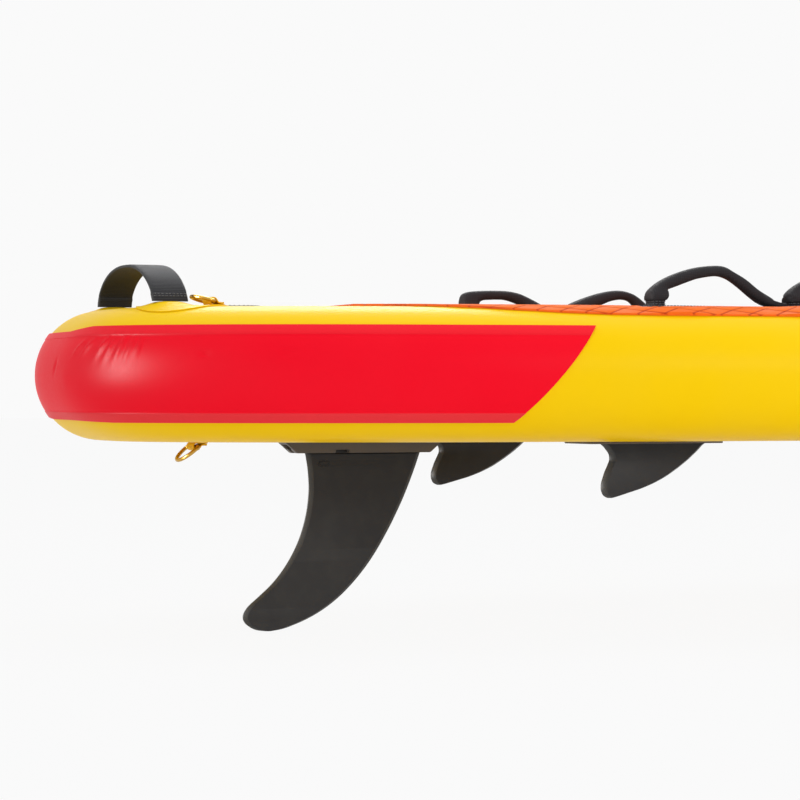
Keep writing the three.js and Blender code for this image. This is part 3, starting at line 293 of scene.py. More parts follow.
@dataclass(frozen=True)
class KnitSleeve(Finish):
    """Neoprene with a nylon jersey face: soft and even, with a fine knit and a broad pale sheen."""

    stitch_mm: float = 2.4
    light: str = "#3b383b"

    def pattern(self) -> None:
        """Adds the jersey's courses and slow creases."""
        tree = self.tree
        place = add(tree, "ShaderNodeTexCoord", out="UV")
        solid = add(tree, "ShaderNodeTexCoord", out="Object")
        # Jersey courses of about 0.7 mm, drawn at 2.4 mm so that they show
        knit = crossed(tree, {"Vector": place, "Scale": wave_scale(self.stitch_mm), "Distortion": 0.8}, "XY")
        crease = add(tree, "ShaderNodeTexNoise", {"Vector": solid, "Scale": 90.0, "Detail": 2.0})
        pale = add(tree, "ShaderNodeMath", {0: knit, 1: crease}, operation="MULTIPLY")
        bumps = [(knit, 0.45, 0.25), (crease, 0.4, 1.0)]
        self.shade((pale, self.light), None, bumps, Sheen_Weight=0.06, Specular_IOR_Level=0.15)


@dataclass(frozen=True)
class MouldedPlastic(Finish):
    """Glass-filled nylon, injection moulded: satin, with a fine spark texture and rubbed edges."""

    rubbed: str = "#6b6a66"
    grain_mm: float = 0.8

    def pattern(self) -> None:
        """Adds the spark texture and the edges' paler colour."""
        tree = self.tree
        place = add(tree, "ShaderNodeTexCoord", out="Object")
        rim = add(tree, "ShaderNodeAttribute", out="Fac", attribute_name="rim")
        scuff = add(tree, "ShaderNodeTexNoise", {"Vector": place, "Scale": 40.0, "Detail": 4.0})
        spark = add(tree, "ShaderNodeTexNoise", {"Vector": place, "Scale": 1 / (self.grain_mm * MM), "Detail": 2.0})
        faint = add(tree, "ShaderNodeMapRange", {"Value": scuff, "From Min": 0.45, "From Max": 0.8, "To Max": 0.07})
        worn = add(tree, "ShaderNodeMath", {0: rim, 1: 0.3}, operation="MULTIPLY")
        pale = add(tree, "ShaderNodeMath", {0: worn, 1: faint}, operation="ADD", use_clamp=True)
        bumps = [(spark, 0.25, 0.1)]
        self.shade((pale, self.rubbed), (scuff, -0.08, 0.1), bumps, Specular_IOR_Level=0.35)


@dataclass(frozen=True)
class PolishedSteel(Finish):
    """Steel wire, tumbled and polished, in a steel colour or a gold one: mirror-like, with fine scratches and finger
    marks.
    """

    def pattern(self) -> None:
        """Adds metal, scratches and finger marks."""
        tree = self.tree
        place = add(tree, "ShaderNodeTexCoord", out="Object")
        scratch = add(tree, "ShaderNodeTexNoise", {"Vector": place, "Scale": 900.0, "Detail": 3.0})
        marks = add(tree, "ShaderNodeTexNoise", {"Vector": place, "Scale": 60.0, "Detail": 3.0})
        self.shade(gloss=(marks, -0.06, 0.1), bumps=[(scratch, 0.15, 0.05)], Metallic=1.0)


@dataclass(frozen=True)
class Rubber(Finish):
    """Nitrile rubber, moulded: dull and dark, with a faint bloom."""

    bloom: str = "#8a8a88"

    def pattern(self) -> None:
        """Adds the bloom."""
        tree = self.tree
        place = add(tree, "ShaderNodeTexCoord", out="Object")
        cloud = add(tree, "ShaderNodeTexNoise", {"Vector": place, "Scale": 80.0, "Detail": 4.0})
        self.shade((add(tree, "ShaderNodeMapRange", {"Value": cloud, "To Max": 0.15}), self.bloom))


@dataclass(frozen=True)
class SewnThread(Finish):
    """Bonded polyester thread: plies twisted together, under a thin coat that makes their crowns paler."""

    light: str = "#8e8e90"
    ply_mm: float = 1.6

    def pattern(self) -> None:
        """Adds the twisted plies."""
        tree = self.tree
        place = add(tree, "ShaderNodeTexCoord", out="Object")
        # Plies cross the thread every 0.8 mm, drawn at 1.6 mm so that they show
        ply = {"Vector": place, "Scale": wave_scale(self.ply_mm), "Distortion": 0.5}
        plies = add(tree, "ShaderNodeTexWave", ply, "Fac", bands_direction="DIAGONAL")
        self.shade((plies, self.light), bumps=[(plies, 0.4, 0.2)], Specular_IOR_Level=0.3)


YELLOW_PVC = CoatedFabric("pvc_coated_yellow", "#fdcf00", 0.38, "hull_yellow", dust_and_painted_light="#ffe88a")
TAB_PVC = CoatedFabric("pvc_webbing_yellow", "#f6c21c", 0.45, "hull_yellow", dust_and_painted_light="#ffe88a")
# The red's pinker second colour is a faint mottle, and beyond the band's seams painted light: a painted reflection of
# the floor below and a painted highlight above.
RED_PVC = CoatedFabric("pvc_coated_red", "#fb0824", 0.4, "rail_red", dust_and_painted_light="#d2605e", painted_light_share=0.3)
PAD_FOAM = GroovedFoam("eva_foam_orange", "#fb7420", 0.88, "pad_foam")
CORE_CLOTH = CoatedFabric("drop_stitch_cloth", "#e8e4d8", 0.8, "core_fabric")
BLACK_WEBBING = WovenWebbing("polyester_webbing_black", "#242426", 0.72, "webbing")
SLEEVE_KNIT = KnitSleeve("neoprene_jersey_charcoal", "#292729", 0.75, "sleeve")
THREAD = SewnThread("bonded_thread_black", "#48484a", 0.6, "webbing", light="#6c6c6e")
TAB_THREAD = SewnThread("bonded_thread_yellow", "#c99400", 0.6, "hull_yellow", light="#f0bc20")
BLADE_NYLON = MouldedPlastic("moulded_nylon_black", "#1e1b1a", 0.45, "blade")
BOX_NYLON = MouldedPlastic("moulded_nylon_grey", "#625b56", 0.5, "box")
VALVE_NYLON = MouldedPlastic("moulded_nylon_valve", "#b2b3b0", 0.38, "valve", rubbed="#94959a")
STEEL = PolishedSteel("polished_stainless_steel", "#cfcdc6", 0.16, "steel")
# The rings' metal is given a gold colour.
RING_GOLD_TONE = PolishedSteel("gold_toned_steel", "#c49a48", 0.2, "steel")
SEAL_RUBBER = Rubber("nitrile_rubber_black", "#1c1c1c", 0.8, "gasket")


# Meshes


def new_object(name: str, mesh: Mesh, finish: Finish, sharp_degrees: float = 35) -> Obj:
    """Links a mesh as a smooth-shaded object in a finish.

    Args:
        name: The piece's name.
        mesh: Its mesh, with its place in it.
        finish: What it is made of.
        sharp_degrees: Edges that turn more than this stay sharp.

    Returns:
        The object.
    """
    mesh.name = name
    mesh.materials.clear()
    mesh.materials.append(finish.material())
    mesh.shade_smooth()
    mesh.set_sharp_from_angle(angle=math.radians(sharp_degrees))
    made = bpy.data.objects.new(name, mesh)
    bpy.context.scene.collection.objects.link(made)
    return made


def places_of(mesh: Mesh) -> Points:
    """The places of a mesh's vertices."""
    return np.array([v.co for v in mesh.vertices])


def mesh_of(
    points: Points | Sequence, faces: Sequence[Face], merge: float = 1e-6, seat: Matrix | None = None
) -> Mesh:
    """Makes a mesh whose faces point outwards.

    Args:
        points: Its vertices.
        faces: Its faces, as indices of vertices.
        merge: Vertices nearer than this are merged, and none where it is 0.
        seat: The frame that the points are given in.

    Returns:
        The mesh.
    """
    placed = [seat @ Vector(p) for p in points] if seat is not None else points
    mesh = bpy.data.meshes.new("raw")
    mesh.from_pydata([tuple(map(float, p)) for p in placed], [], [tuple(f) for f in faces])
    work = bmesh.new()
    work.from_mesh(mesh)
    if merge:
        bmesh.ops.remove_doubles(work, verts=work.verts, dist=merge)
        bmesh.ops.dissolve_degenerate(work, edges=work.edges, dist=merge)
    bmesh.ops.recalc_face_normals(work, faces=work.faces)
    work.to_mesh(mesh)
    work.free()
    return mesh


def marked(mesh: Mesh, name: str, values: Points | Sequence | None = None) -> Mesh:
    """Gives a mesh's vertices an attribute for its finish.

    Args:
        mesh: The mesh.
        name: The attribute's name.
        values: A number for each vertex, or nothing for zeros.

    Returns:
        The same mesh.
    """
    layer = mesh.attributes.new(name, "FLOAT", "POINT")
    if values is not None:
        layer.data.foreach_set("value", np.array(values, np.float32).ravel())
    return mesh


def grid_faces(rows: int, columns: int, loop_rows: bool = False, loop_columns: bool = False) -> list[Face]:
    """Faces of a grid of points whose index is row times columns plus column.

    Args:
        rows: How many rows it has.
        columns: How many points a row has.
        loop_rows: Whether the last row joins the first.
        loop_columns: Whether each row closes on itself.

    Returns:
        Its four-sided faces.
    """
    faces = []
    for i in range(rows if loop_rows else rows - 1):
        k = (i + 1) % rows
        for j in range(columns if loop_columns else columns - 1):
            m = (j + 1) % columns
            faces.append((i * columns + j, k * columns + j, k * columns + m, i * columns + m))
    return faces


def tube(rings: Points, loop: bool = False) -> tuple[Points, list[Face]]:
    """A closed skin through rings of points, with flat caps unless it is a loop.

    Args:
        rings: The points, by ring, then round the ring.
        loop: Whether the last ring joins the first.

    Returns:
        The vertices and the faces.
    """
    count, sides = rings.shape[:2]
    faces = grid_faces(count, sides, loop_rows=loop, loop_columns=True)
    if not loop:
        faces.append(tuple(range(sides - 1, -1, -1)))
        faces.append(tuple((count - 1) * sides + j for j in range(sides)))
    return rings.reshape(-1, 3), faces


def mapped(mesh: Mesh, along: Points, across: Points) -> None:
    """Gives a mesh a UV map in metres from values at its vertices.

    Args:
        mesh: The mesh.
        along: The first coordinate of each vertex.
        across: The second one.
    """
    layer = mesh.uv_layers.new(name="cloth")
    corners = np.zeros(len(mesh.loops), np.int32)
    mesh.loops.foreach_get("vertex_index", corners)
    layer.data.foreach_set("uv", np.stack([along[corners], across[corners]], 1).ravel().astype(np.float32))


def smooth_line(points: Points, steps: int) -> Points:
    """A smooth line through points.

    Args:
        points: The points, one a row.
        steps: How many stretches each span is cut into.

    Returns:
        The line's points, the first and the last among them.
    """
    padded = np.vstack([2 * points[0] - points[1], points, 2 * points[-1] - points[-2]])
    out = []
    for i in range(len(points) - 1):
        a, b, c, d = padded[i : i + 4]
        for step in range(steps):
            t = step / steps
            out.append(
                0.5 * (2 * b + (c - a) * t + (2 * a - 5 * b + 4 * c - d) * t**2 + (3 * b - a - 3 * c + d) * t**3)
            )
    out.append(points[-1])
    return np.array(out)


def rounded_section(half_width: float, half_height: float, sides: int, power: float) -> Points:
    """A closed section between an ellipse and a rectangle.

    Args:
        half_width: Half its width.
        half_height: Half its height.
        sides: How many points it has.
        power: 2 gives an ellipse, and more makes it squarer.

    Returns:
        Its points, across and up.
    """
    turn = 2 * np.pi * (np.arange(sides) + 0.5) / sides
    cosine, sine = np.cos(turn), np.sin(turn)
    across = half_width * np.sign(cosine) * np.abs(cosine) ** (2 / power)
    up = half_height * np.sign(sine) * np.abs(sine) ** (2 / power)
    return np.stack([across, up], 1)


def node_copy(node: str, name: str, finish: Finish, bevel: float = 0.0) -> Obj:
    """A welded copy of a CAD node, with its edges rounded.

    Args:
        node: The node's name.
        name: The new piece's name.
        finish: What it is made of.
        bevel: The rounding of its sharp edges, or 0 for none.

    Returns:
        The new piece.
    """
    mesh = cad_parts[node].data.copy()
    if mesh.has_custom_normals:
        mesh.attributes.remove(mesh.attributes["custom_normal"])
    work = bmesh.new()
    work.from_mesh(mesh)
    bmesh.ops.remove_doubles(work, verts=work.verts, dist=2e-6)
    bmesh.ops.dissolve_limit(work, angle_limit=math.radians(0.5), verts=work.verts, edges=work.edges)
    if bevel:
        sharp = [e for e in work.edges if len(e.link_faces) == 2 and e.calc_face_angle(0) > math.radians(40)]
        bmesh.ops.bevel(work, geom=sharp, offset=bevel, segments=2, affect="EDGES", clamp_overlap=True)
    bmesh.ops.triangulate(work, faces=[f for f in work.faces if len(f.verts) > 4])
    work.to_mesh(mesh)
    work.free()
    return new_object(name, marked(mesh, "rim"), finish, 20)


def plain(obj: Obj) -> Obj:
    """Turns what an object's modifiers make into its own mesh, and removes them.

    Args:
        obj: The object.

    Returns:
        The same object.
    """
    graph = bpy.context.evaluated_depsgraph_get()
    made = bpy.data.meshes.new_from_object(obj.evaluated_get(graph))
    obj.modifiers.clear()
    obj.data = made
    return obj


def cut_hole(
    obj: Obj,
    place: Sequence[float],
    radius: float,
    depth: float,
    sides: int,
    turn: float = 0.0,
    oval: tuple[float, float] = (1, 1),
) -> None:
    """Cuts a round or oval hole into a piece.

    Args:
        obj: The piece.
        place: The middle of the hole.
        radius: Its radius.
        depth: Its depth, half of it to each side of the middle.
        sides: How many sides its wall has.
        turn: Its turn about the X axis.
        oval: What its length and its height are multiplied by.
    """
    bpy.ops.mesh.primitive_cylinder_add(
        vertices=sides, radius=radius, depth=depth, location=place, rotation=(turn, 0, 0)
    )
    cutter = bpy.context.active_object
    cutter.scale = (*oval, 1)
    cut = obj.modifiers.new("hole", "BOOLEAN")
    cut.operation, cut.solver, cut.object = "DIFFERENCE", "EXACT", cutter
    plain(obj)
    bpy.data.objects.remove(cutter)


def settled(obj: Obj, pinned: Sequence[int], pressure: float, spare: float, cap: float, floor: float) -> None:
    """Lets a padded piece fill out and crease in a cloth simulation, whose result becomes its mesh.

    Args:
        obj: The piece, whose faces and UV map stay as they are.
        pinned: Vertices that are sewn down and don't move.
        pressure: The filling's push.
        spare: How much longer the cloth is than its form, as a share.
        cap: The most that a point may move.
        floor: No point goes under this height.
    """
    start = places_of(obj.data)
    obj.vertex_groups.new(name="sewn").add(list(map(int, pinned)), 1.0, "REPLACE")
    cloth = obj.modifiers.new("cloth", "CLOTH")
    cloth.settings.use_pressure = True
    cloth.settings.uniform_pressure_force = pressure
    cloth.settings.effector_weights.gravity = 0
    cloth.settings.vertex_group_mass = "sewn"
    cloth.settings.shrink_min = -spare
    cloth.point_cache.frame_start, cloth.point_cache.frame_end = 1, SIMULATION_FRAMES
    for moment in range(1, SIMULATION_FRAMES + 1):
        bpy.context.scene.frame_set(moment)
    graph = bpy.context.evaluated_depsgraph_get()
    moved = places_of(obj.evaluated_get(graph).data) - start
    obj.modifiers.clear()
    obj.vertex_groups.clear()
    bpy.context.scene.frame_set(1)
    reach = np.linalg.norm(moved, axis=1, keepdims=True) + 1e-12
    out = start + moved / reach * cap * np.tanh(reach / cap)
    out[:, 2] = np.maximum(out[:, 2], np.minimum(start[:, 2], floor))
    obj.data.vertices.foreach_set("co", out.ravel())
    obj.data.update()
    LOG.info("%s: cloth moved its points by %.2f mm at most", obj.name, np.abs(out - start).max() / MM)


# The hull's form, the same as the solid's


@dataclass(frozen=True)
class HullForm:
    """The inflated hull: a superellipse in plan, half-round rails and a lifted nose."""

    length: float = 3.2
    width: float = 0.84
    thickness: float = 0.15
    tail_powers: tuple[float, float] = (2.2, 2.83)
    nose_powers: tuple[float, float] = (2.0, 2.15)
    rocker_length: float = 1.2
    rocker_height: float = 0.18
    seat_reach: float = 0.02
    nose_facets: int = 14

    @property
    def rail(self) -> float:
        """Radius of the rail."""
        return self.thickness / 2

    def rocker(self, x: Points | float) -> Points:
        """Lift of the bottom at a place along the board."""
        reach = np.maximum(0, np.asarray(x) - (self.length / 2 - self.rocker_length)) / self.rocker_length
        return self.rocker_height * reach**2

    def half_width(self, x: Points | float) -> Points:
        """Half the hull's width at a place along the board."""
        x = np.asarray(x, float)
        share = np.minimum(1, np.abs(x) / (self.length / 2))
        p = np.where(x < 0, self.tail_powers[0], self.nose_powers[0])
        q = np.where(x < 0, self.tail_powers[1], self.nose_powers[1])
        return self.width / 2 * (1 - share**p) ** (1 / q)

    def quarter(self, angles: Points, end: End) -> tuple[Points, Points]:
        """Places and outward normals on the port side of one end's outline.

        Args:
            angles: From 0 at the board's middle line to a quarter turn at its widest.
            end: Which end.

        Returns:
            The places and the normals, both in plan.
        """
        p, q = self.tail_powers if end is End.TAIL else self.nose_powers
        a, b = self.length / 2, self.width / 2
        x = end.value * a * np.cos(angles) ** (2 / p)
        y = b * np.sin(angles) ** (2 / q)
        steep_x = end.value * p * (np.abs(x) / a) ** (p - 1) / a
        steep_y = q * (y / b) ** (q - 1) / b
        normal = np.stack([steep_x, steep_y], 1)
        return np.stack([x, y], 1), normal / np.linalg.norm(normal, axis=1, keepdims=True)

    def outline_table(self) -> tuple[Points, Points, Points]:
        """Arc length from the tail's middle, places and normals of the port outline, finely spaced."""
        fine = np.linspace(0, 1, 3000) ** 1.5 * np.pi / 2
        tail, tail_normal = self.quarter(fine, End.TAIL)
        nose, nose_normal = self.quarter(fine[::-1][1:], End.NOSE)
        places, normals = np.vstack([tail, nose]), np.vstack([tail_normal, nose_normal])
        steps = np.linalg.norm(np.diff(places, axis=0), axis=1)
        return np.concatenate([[0], np.cumsum(steps)]), places, normals

    def facet_lift(self, x: float) -> float:
        """Lift of the solid's flat facets at a place, which its patches and rings are seated on."""
        steps = np.pi / 2 * np.arange(self.nose_facets, -1, -1) / self.nose_facets
        places, normals = self.quarter(steps, End.NOSE)
        stations = places[:, 0] - normals[:, 0] * self.rail
        if x <= stations[0]:
            return float(self.rocker(x))
        return float(np.interp(x, stations, self.rocker(stations)))

    def seat(self, x: float, y: float, under: bool = False) -> Matrix:
        """Frame whose origin lies on the deck or under the bottom, with its +Z away from the hull.

        Args:
            x: Place along the board.
            y: Place across it.
            under: Whether it lies under the bottom.

        Returns:
            The frame's matrix.
        """
        aft, fore = self.facet_lift(x - self.seat_reach), self.facet_lift(x + self.seat_reach)
        pitch = -math.atan((fore - aft) / (2 * self.seat_reach))
        place = Vector((x, y, (aft + fore) / 2 + (0 if under else self.thickness)))
        turn = Matrix.Rotation(pitch, 4, "Y")
        if under:
            turn = turn @ Matrix.Rotation(math.pi, 4, "X")
        return Matrix.Translation(place) @ turn


HULL = HullForm()


class RailSurface:
    """The hull's surface by arc length round the outline and by height angle on the rail."""

    def __init__(self, hull: HullForm) -> None:
        """Samples the outline.

        Args:
            hull: The hull's form.
        """
        self.hull = hull
        self.arc, self.places, self.normals = hull.outline_table()
        self.end = float(self.arc[-1])

    def outline(self, arc: Points) -> tuple[Points, Points]:
        """Places and normals at arc lengths from the tail's middle, positive to port."""
        side = np.where(arc < 0, -1.0, 1.0)
        far = np.abs(arc)
        place = np.stack([np.interp(far, self.arc, self.places[:, i]) for i in (0, 1)], -1)
        normal = np.stack([np.interp(far, self.arc, self.normals[:, i]) for i in (0, 1)], -1)
        normal /= np.linalg.norm(normal, axis=-1, keepdims=True)
        place[..., 1] *= side
        normal[..., 1] *= side
        return place, normal

    def point(self, arc: Points, angle: Points, offset: Points | float) -> Points:
        """Points of the rail's surface.

        Args:
            arc: Arc lengths from the tail's middle, positive to port.
            angle: Height angles, from minus a quarter turn under the board to a quarter turn on deck.
            offset: How far the surface stands out from the hull's.

        Returns:
            The points, in an array shaped as the arguments are together.
        """
        arc, angle, offset = np.broadcast_arrays(arc, angle, offset)
        place, normal = self.outline(arc)
        radius = self.hull.rail + offset
        inward = self.hull.rail - radius * np.cos(angle)
        x = place[..., 0] - normal[..., 0] * inward
        y = place[..., 1] - normal[..., 1] * inward
        z = self.hull.rail + radius * np.sin(angle) + self.hull.rocker(x)
        return np.stack([x, y, z], -1)

    def height_angle(self, height: float) -> float:
        """The height angle at a height above the bottom."""
        return math.asin((height - self.hull.rail) / self.hull.rail)

    def inward(self, plan: Points) -> tuple[Points, Points]:
        """How far places in plan lie inside the outline.

        Args:
            plan: The places.

        Returns:
            The distances, and the outline's normals nearest to the places.
        """
        places, normals = self.outline(np.linspace(0, self.end, OUTLINE_SAMPLES))
        near = KDTree(len(places))
        for i, (x, y) in enumerate(places):
            near.insert((x, y, 0), i)
        near.balance()
        found = [near.find((x, abs(y), 0))[1] for x, y in plan]
        mirror = np.column_stack([np.ones(len(plan)), np.where(plan[:, 1] < 0, -1.0, 1.0)])
        normal = normals[found] * mirror
        return np.einsum("ij,ij->i", places[found] * mirror - plan, normal), normal


RAIL = RailSurface(HULL)


# Assemblies


def group_of(name: str, inputs: dict[str, str]) -> tuple[Tree, Any]:
    """Starts a geometry node tree.

    Args:
        name: The tree's name.
        inputs: Names of its inputs and their socket types.

    Returns:
        The tree and the outputs of its input node.
    """
    tree = bpy.data.node_groups.new(name, "GeometryNodeTree")
    tree.interface.new_socket("Geometry", in_out="INPUT", socket_type="NodeSocketGeometry")
    for word, kind in inputs.items():
        tree.interface.new_socket(word, in_out="INPUT", socket_type=kind)
    tree.interface.new_socket("Geometry", in_out="OUTPUT", socket_type="NodeSocketGeometry")
    return tree, tree.nodes.new("NodeGroupInput").outputs


def ended(tree: Tree, geometry: Socket, finish: Socket) -> None:
    """Ends a tree: its instances are made real and get their material."""
    real = add(tree, "GeometryNodeRealizeInstances", {"Geometry": geometry})
    dressed = add(tree, "GeometryNodeSetMaterial", {"Geometry": real, "Material": finish})
    add(tree, "NodeGroupOutput", {"Geometry": dressed})


def grown(obj: Obj, tree: Tree, values: dict[str, Any]) -> Obj:
    """Runs a tree on an object and turns the result into its plain mesh.

    Args:
        obj: The object.
        tree: The tree.
        values: The tree's input values by name.

    Returns:
        The same object.
    """
    maker = obj.modifiers.new(tree.name, "NODES")
    maker.node_group = tree
    for item in tree.interface.items_tree:
        if item.in_out == "INPUT" and item.name in values:
            maker[item.identifier] = values[item.name]
    plain(obj)
    obj.data.name = obj.name
    obj.data.shade_smooth()
    return obj


@dataclass
class Sewing:
    """Every seam on the hull's own pieces, whose stitches one node tree sets along them."""

    # Real stitches are 3 mm apart, and these are a little coarser to show
    pitch: float = 4.2 * MM
    length: float = 3.0 * MM
    radius: float = 0.45 * MM
    seams: dict[Finish, list[Points]] = field(default_factory=dict)

    def line(self, finish: Finish, points: Points | Sequence, seat: Matrix | None = None) -> None:
        """Adds a seam along points, which may be given in a frame of their own."""
        placed = [seat @ Vector(p) for p in points] if seat is not None else points
        self.seams.setdefault(finish, []).append(np.asarray(placed, float))

    def tree(self) -> Tree:
        """The tree that sets stitches along the edges of a mesh."""
        kinds = {word: "NodeSocketFloat" for word in ("Pitch", "Stitch Length", "Thread Radius")}
        tree, given = group_of("stitch_rows", {**kinds, "Thread": "NodeSocketMaterial"})
        curve = add(tree, "GeometryNodeMeshToCurve", {"Mesh": given["Geometry"]})
        points = add(tree, "GeometryNodeCurveToPoints", {"Curve": curve, "Length": given["Pitch"]}, mode="LENGTH")
        size = {"Vertices": 6, "Radius": given["Thread Radius"], "Depth": given["Stitch Length"]}
        stitch = add(tree, "GeometryNodeMeshCylinder", size)
        along = {"Vector": points.node.outputs["Tangent"]}
        turn = add(tree, "FunctionNodeAlignRotationToVector", along, axis="Z")
        rows = {"Points": points, "Instance": stitch, "Rotation": turn}
        ended(tree, add(tree, "GeometryNodeInstanceOnPoints", rows), given["Thread"])
        return tree

    def build(self) -> None:
        """Builds one piece of stitches for each thread, riding on the hull."""
        tree = self.tree()
        sizes = {"Pitch": self.pitch, "Stitch Length": self.length, "Thread Radius": self.radius}
        for finish, seams in self.seams.items():
            starts = np.cumsum([0, *(len(s) for s in seams[:-1])])
            edges = [(a + i, a + i + 1) for a, seam in zip(starts, seams) for i in range(len(seam) - 1)]
            mesh = bpy.data.meshes.new("raw")
            mesh.from_pydata(np.vstack(seams).tolist(), edges, [])
            obj = new_object(f"stitches_{finish.name}", mesh, finish)
            grown(obj, tree, sizes | {"Thread": finish.material()})
            Assembly().fit(obj, finish)


SEWING = Sewing()


@dataclass
class Assembly:
    """A sub-assembly whose pieces ride on one body unless told otherwise."""

    body: str = "hull"

    def fit(
        self, obj: Obj, finish: Finish, nodes: Sequence[str] = (), body: str | None = None
    ) -> Obj:
        """Lets a piece ride on its body and stands it for CAD nodes.

        Args:
            obj: The piece.
            finish: Its finish, which is not used.
            nodes: The CAD nodes that it stands for.
            body: The body, where it isn't the assembly's.

        Returns:
            The piece.
        """
        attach(obj, body or self.body)
        if nodes:
            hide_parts(*nodes)
        count = len(obj.data.polygons) if obj.type == "MESH" else 0
        LOG.info("%s: %d faces, on %s, for %s", obj.name, count, body or self.body, ", ".join(nodes) or "no node")
        return obj


@dataclass
class Hull(Assembly):
    """Skins of the inflated hull and the protective bands round its ends."""

    skin: float = 1.5 * MM
    seam_height: float = 33 * MM
    seam_step: float = 0.65 * MM
    rim_turn: float = 0.01
    spacing: float = 9 * MM
    patch_out: float = 1.5 * MM
    patch_thickness: float = 1.0 * MM
    patch_edge: float = 22 * MM
    patch_top_length: float = 0.526
    patch_bottom_length: float = 0.435
    step_turn: float = 0.006
    # The tail band was glued by hand: its edges wander by these heights, from a start and over a length
    edge_dip: float = 4.6 * MM
    top_drop: float = 1 * MM
    top_ramp: tuple[float, float] = (-0.09, 0.055)
    low_rise: float = 1.2 * MM
    low_ramp: tuple[float, float] = (-0.13, 0.2)
    edge_lift: float = 1.6 * MM
    lift_spot: tuple[float, float] = (0.03, 0.04)
    # How much of the painted light the band's strip above the upper seam gets, as a painted highlight; the strip
    # below the lower seam gets all of it, as a painted reflection of the floor
    top_painted_light: float = 0.3
    valve_x: float = -1.375
    valve_hole: float = 19.3 * MM
    valve_hole_depth: float = 40 * MM
    # Small folds and dents: arc, height, length along, length up, lean, rise, all but the lean in mm
    folds: tuple[tuple[float, ...], ...] = (
        (-84, 104, 3.4, 8, -1.0, 2.0),
        (-101, 104, 3.2, 9, -0.9, 1.9),
        (-127, 105, 3.8, 11, -0.7, 2.4),
        (-139, 103, 3.0, 12, -0.5, 2.1),
        (-154, 104, 3.6, 13, -0.4, 2.4),
        (-167, 103, 2.8, 11, -0.4, 1.8),
        (-177, 103, 2.6, 9, -0.3, 1.5),
        (-257, 96, 4.5, 1.8, 0.2, -1.6),
        (-344, 97, 4.0, 1.8, 0.3, -1.5),
        (-352, 98, 4.0, 1.8, 0.3, -1.4),
        (-28, 84, 2.6, 8, -0.4, -1.6),
        (-60, 70, 12.0, 9.0, 0.0, 0.5),
        (175, 102, 3.4, 11, 0.8, 1.0),
        (192, 104, 3.2, 12, 0.6, 0.9),
        (310, 96, 8.0, 2.0, 0.2, -0.8),
    )

    @property
    def seam(self) -> float:
        """Height angle of the seam between the deck skin and the side band."""
        return RAIL.height_angle(HULL.thickness - self.seam_height)

    def stations(self) -> Points:
        """Arc lengths from the tail's middle to the nose's that the skins and the side band share."""
        return np.linspace(0, RAIL.end, int(RAIL.end / self.spacing))

    def skin_mesh(self, sign: int) -> Mesh:
        """Outer surface of the deck's skin, or of the bottom's for -1, flush with the side band at their seam."""
        arc = self.stations()[:, None]
        angles = np.concatenate([[self.seam, self.seam + self.rim_turn], np.linspace(self.seam, np.pi / 2, 16)[1:]])
        port = RAIL.point(arc, sign * angles[None, :], 0.0)
        starboard = RAIL.point(-arc - 1e-9, sign * angles[None, ::-1], 0.0)
        flat = np.linspace(0, 1, 10)[1:-1]
        across = port[:, -1:, :] * (1 - flat)[None, :, None] + starboard[:, :1, :] * flat[None, :, None]
        grid = np.concatenate([port, across, starboard], 1)
        return mesh_of(grid.reshape(-1, 3), grid_faces(*grid.shape[:2]), 1e-5)

    def band_mesh(self) -> Mesh:
        """Outer surface of the rail's side band, round the whole board."""
        port = self.stations()
        arc = np.concatenate([-port[::-1], port[1:-1]])[:, None]
        rim = [self.seam - self.rim_turn, self.seam]
        inner = np.linspace(-self.seam, self.seam, 22)[1:-1]
        angle = np.concatenate([-np.array(rim[::-1]), inner, rim])[None, :]
        grid = RAIL.point(arc, angle, 0.0)
        return mesh_of(grid.reshape(-1, 3), grid_faces(*grid.shape[:2], loop_rows=True))

    def thickened(self, name: str, mesh: Mesh, finish: Finish, wall: float) -> Obj:
        """Gives an outward-facing sheet a wall on its inner side."""
        obj = new_object(name, mesh, finish, 50)
        maker = obj.modifiers.new("wall", "SOLIDIFY")
        maker.thickness, maker.offset = wall, -1.0
        plain(obj)
        obj.data.set_sharp_from_angle(angle=math.radians(40))
        return obj

    def puckers(self, arc: Points, height: Points, end: End) -> Points:
        """Heights that a glued band's small folds and dents add.

        Args:
            arc: Arc lengths from the end's middle, positive to port.
            height: Heights above the bottom.
            end: Which end's band it is.

        Returns:
            The added heights.
        """
        total = np.zeros(np.broadcast(arc, height).shape)
        for place, level, along, up, lean, rise in self.folds:
            above = height - level * MM
            beside = (arc - place * MM * (1 if end is End.TAIL else -1) - lean * above) / (along * MM)
            total = total + rise * MM * np.exp(-(beside**2) - (above / (up * MM)) ** 2)
        return total

